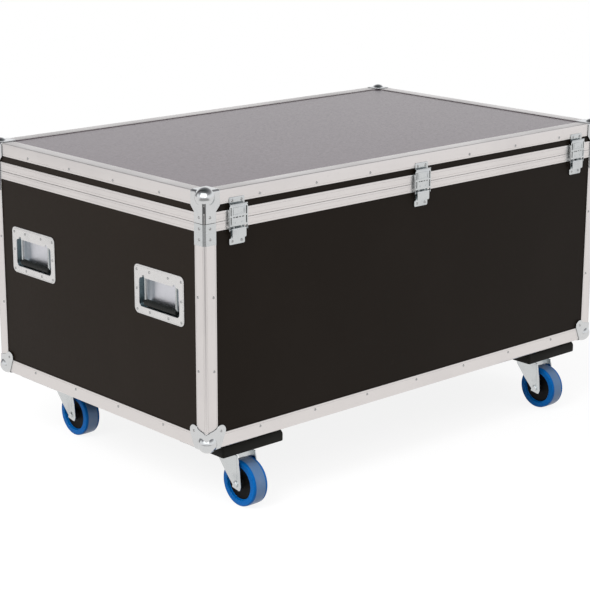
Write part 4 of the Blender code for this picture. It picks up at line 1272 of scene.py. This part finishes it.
def by_the_corners(inset, out, *heights):
    """Rivets on both sides of every upright corner, at heights above the bottom."""
    made = []
    for x_way, y_way in CORNERS:
        for height in heights:
            (near_x, near_y), = at_corner(x_way, y_way, [(inset, inset)])
            (face_x, face_y), = at_corner(x_way, y_way, [(-out, -out)])
            made.append(((near_x, face_y, BOTTOM + height), (0, y_way, 0)))
            made.append(((face_x, near_y, BOTTOM + height), (x_way, 0, 0)))
    return made


def on_latches(height):
    return [
        ((centre + way * 0.012, FRONT - LATCH_FOOT, SEAM + height), (0, -1, 0))
        for centre in LATCHES.values() for way in (-1, 1)]


def on_hinges(height):
    return [
        ((way * HINGE_FROM_MIDDLE + u, BACK + HINGE_LEAF, SEAM + height), (0, 1, 0))
        for way in (-1, 1) for u in (-0.030, 0, 0.030)]


def on_handles():
    return [
        ((x_way * (HALF_LENGTH - TOUCH), MIDDLE + y_way * (HALF_WIDTH - HANDLE_INSET) + way * u,
          HANDLE_Z + v), (x_way, 0, 0))
        for x_way, y_way in CORNERS for way in (-1, 1) for u, v in (
            (0.0715, 0.040), (0.0715, -0.0435), (0.0715, 0), (0.030, -0.0437), (0.030, 0.040))]


def beside_hinge(point, way):
    return way == (0, 1, 0) and abs(abs(point[0]) - HINGE_FROM_MIDDLE) < 0.045


ALONG_X = [PITCH * i for i in range(-3, 4)]
set_rivets("case_rivets", "base_edging_frame", (
    round_the_case(BOTTOM + 0.0225, ALONG_X)
    + by_the_corners(POST_RIVET, 0, 0.164, 0.3155)
    + by_the_corners(CORNER_RIVET, PLATE_OUT, 0.433, 0.4545)
    + by_the_corners(EAR_INSET, PLATE_OUT, EAR_INSET)
    + on_latches(-0.0440) + on_handles() + on_hinges(-0.027)))
lid_row = round_the_case(BOTTOM + 0.507, [x for x in ALONG_X if abs(x) > 0.01])
set_rivets("lid_rivets", "lid_edging", (
    [(point, way) for point, way in lid_row if not beside_hinge(point, way)]
    + on_latches(0.0375) + by_the_corners(CORNER_RIVET, PLATE_OUT, 0.477) + on_hinges(0.027)))


# Camera, at the photograph's place and lens

CAMERA_LENS = 108.50
CAMERA_SENSOR = 36
CAMERA_PLACE = (-2.7162, -2.9458, 1.3956)
CAMERA_AZIMUTH, CAMERA_ELEVATION, CAMERA_ROLL = -42.34, 15.382, 0.173
AIM = Vector((0, 0, 0.4))


def outward(azimuth, elevation):
    """The way to a place round the case, in degrees round from the front and up."""
    turn, rise = radians(azimuth), radians(elevation)
    return Vector((sin(turn) * cos(rise), -cos(turn) * cos(rise), sin(rise)))


def make_camera():
    data = bpy.data.cameras.new("camera")
    data.lens = CAMERA_LENS
    data.sensor_fit = "VERTICAL"
    data.sensor_width = CAMERA_SENSOR
    data.sensor_height = CAMERA_SENSOR
    data.clip_end = 60
    back = outward(CAMERA_AZIMUTH, CAMERA_ELEVATION)
    level = Vector((cos(radians(CAMERA_AZIMUTH)), sin(radians(CAMERA_AZIMUTH)), 0))
    upright = back.cross(level)
    roll = radians(CAMERA_ROLL)
    right = level * cos(roll) + upright * sin(roll)
    up = upright * cos(roll) - level * sin(roll)
    made = link_in("camera", data)
    turn = Matrix((right, up, back)).transposed().to_4x4()
    made.matrix_world = Matrix.Translation(CAMERA_PLACE) @ turn
    bpy.context.scene.camera = made


def make_lamp(name, azimuth, elevation, distance, size, energy, in_metal=False):
    """A large soft lamp, placed by its angle round the case, mirrored in metal or not."""
    data = bpy.data.lights.new(name, "AREA")
    data.shape = "RECTANGLE"
    data.size, data.size_y = size
    data.energy = energy
    made = link_in(name, data)
    made.visible_glossy = in_metal
    made.location = outward(azimuth, elevation) * distance + AIM
    made.rotation_euler = (made.location - AIM).to_track_quat("Z", "Y").to_euler()


def dark_side(tree, place, centre, full, fade, least):
    """Brightness by direction, dark round one: angles in degrees round from the front."""
    level = add_node(
        tree, "ShaderNodeVectorMath", {0: place, 1: (1, 1, 0)}, "Vector", operation="MULTIPLY")
    way = add_node(tree, "ShaderNodeVectorMath", {0: level}, "Vector", operation="NORMALIZE")
    towards = add_node(
        tree, "ShaderNodeVectorMath", {0: way, 1: outward(centre, 0)}, "Value",
        operation="DOT_PRODUCT")
    return smooth_step(tree, towards, cos(radians(fade)), cos(radians(full)), 1.0, least)


def make_world():
    """White for the camera and soft light. Metal mirrors a room that is white low down and
    darker overhead, with one dark stretch behind the left end."""
    world = bpy.data.worlds.new("studio")
    bpy.context.scene.world = world
    world.use_nodes = True
    tree = world.node_tree
    tree.nodes.clear()
    place = add_node(tree, "ShaderNodeTexCoord", output="Generated")
    height = add_node(tree, "ShaderNodeSeparateXYZ", {"Vector": place}, "Z")
    walls = add_node(tree, "ShaderNodeValToRGB", {"Fac": height})
    stops = walls.color_ramp.elements
    stops[0].color = (0.93, 0.90, 0.92, 1)
    stops[1].color = (0.06, 0.07, 0.07, 1)
    for position, level, green in ((0.34, 0.94, 0.94), (0.56, 0.34, 0.325)):
        stops.new(position).color = (level, green, level, 1)

    def background(colour, strength):
        return add_node(
            tree, "ShaderNodeBackground", {"Color": colour, "Strength": strength}, "Background")

    mirrored_room = background(
        walls.outputs["Color"],
        dark_side(tree, place, centre=-158, full=11, fade=22, least=0.30))
    light = add_node(tree, "ShaderNodeLightPath").outputs
    lit = mix_shaders(tree, light["Is Glossy Ray"], background(WHITE, 0.34), mirrored_room)
    bare = reckon(tree, "MAXIMUM", light["Is Camera Ray"], light["Is Transmission Ray"])
    add_node(tree, "ShaderNodeOutputWorld", {
        "Surface": mix_shaders(tree, bare, lit, background(WHITE, 1.0))})


def make_floor():
    """A pale floor that keeps the case's shadow and turns plain white away from it. Metal
    mirrors it darker some way out from the case's front left corner."""
    shape = bmesh.new()
    bmesh.ops.create_circle(shape, cap_ends=True, segments=96, radius=50)
    floor = as_object("floor", shape)
    made = bpy.data.materials.new("pale_floor")
    made.use_nodes = True
    tree = made.node_tree
    tree.nodes.clear()

    def matt(level):
        return add_node(
            tree, "ShaderNodeBsdfDiffuse", {"Color": (level, level, level, 1)}, "BSDF")

    def glow(colour, strength):
        return add_node(
            tree, "ShaderNodeEmission", {"Color": colour, "Strength": strength}, "Emission")

    place = add_node(tree, "ShaderNodeTexCoord", output="Object")
    reach = add_node(tree, "ShaderNodeVectorMath", {0: place}, "Value", operation="LENGTH")
    shaded = add_node(
        tree, "ShaderNodeAddShader", {0: matt(0.17), 1: glow(WHITE, 0.87)}, "Shader")
    seen = mix_shaders(tree, smooth_step(tree, reach, 0.8, 1.6), shaded, glow(WHITE, 1.0))
    bright = reckon(
        tree, "MAXIMUM", smooth_step(tree, reach, 1.5, 2.1, 1.0, 0.0),
        dark_side(tree, place, centre=-47, full=28, fade=58, least=0.42))
    light = add_node(tree, "ShaderNodeLightPath").outputs
    unseen = mix_shaders(
        tree, light["Is Glossy Ray"], matt(0.50), glow((0.88, 0.85, 0.84, 1), bright))
    add_node(tree, "ShaderNodeOutputMaterial", {
        "Surface": mix_shaders(tree, light["Is Camera Ray"], unseen, seen)})
    floor.data.materials.append(made)


make_camera()
make_world()
make_floor()
make_lamp("key", azimuth=-84, elevation=38, distance=4.2, size=(2.6, 2.0), energy=120)
make_lamp("fill", azimuth=24, elevation=40, distance=4.4, size=(2.4, 1.8), energy=24)
make_lamp(
    "window", azimuth=-55, elevation=31, distance=2.9, size=(3.2, 1.9), energy=22, in_metal=True)
make_lamp("overhead", azimuth=20, elevation=80, distance=3.6, size=(2.4, 2.4), energy=30)
bpy.context.scene.view_settings.view_transform = "Standard"
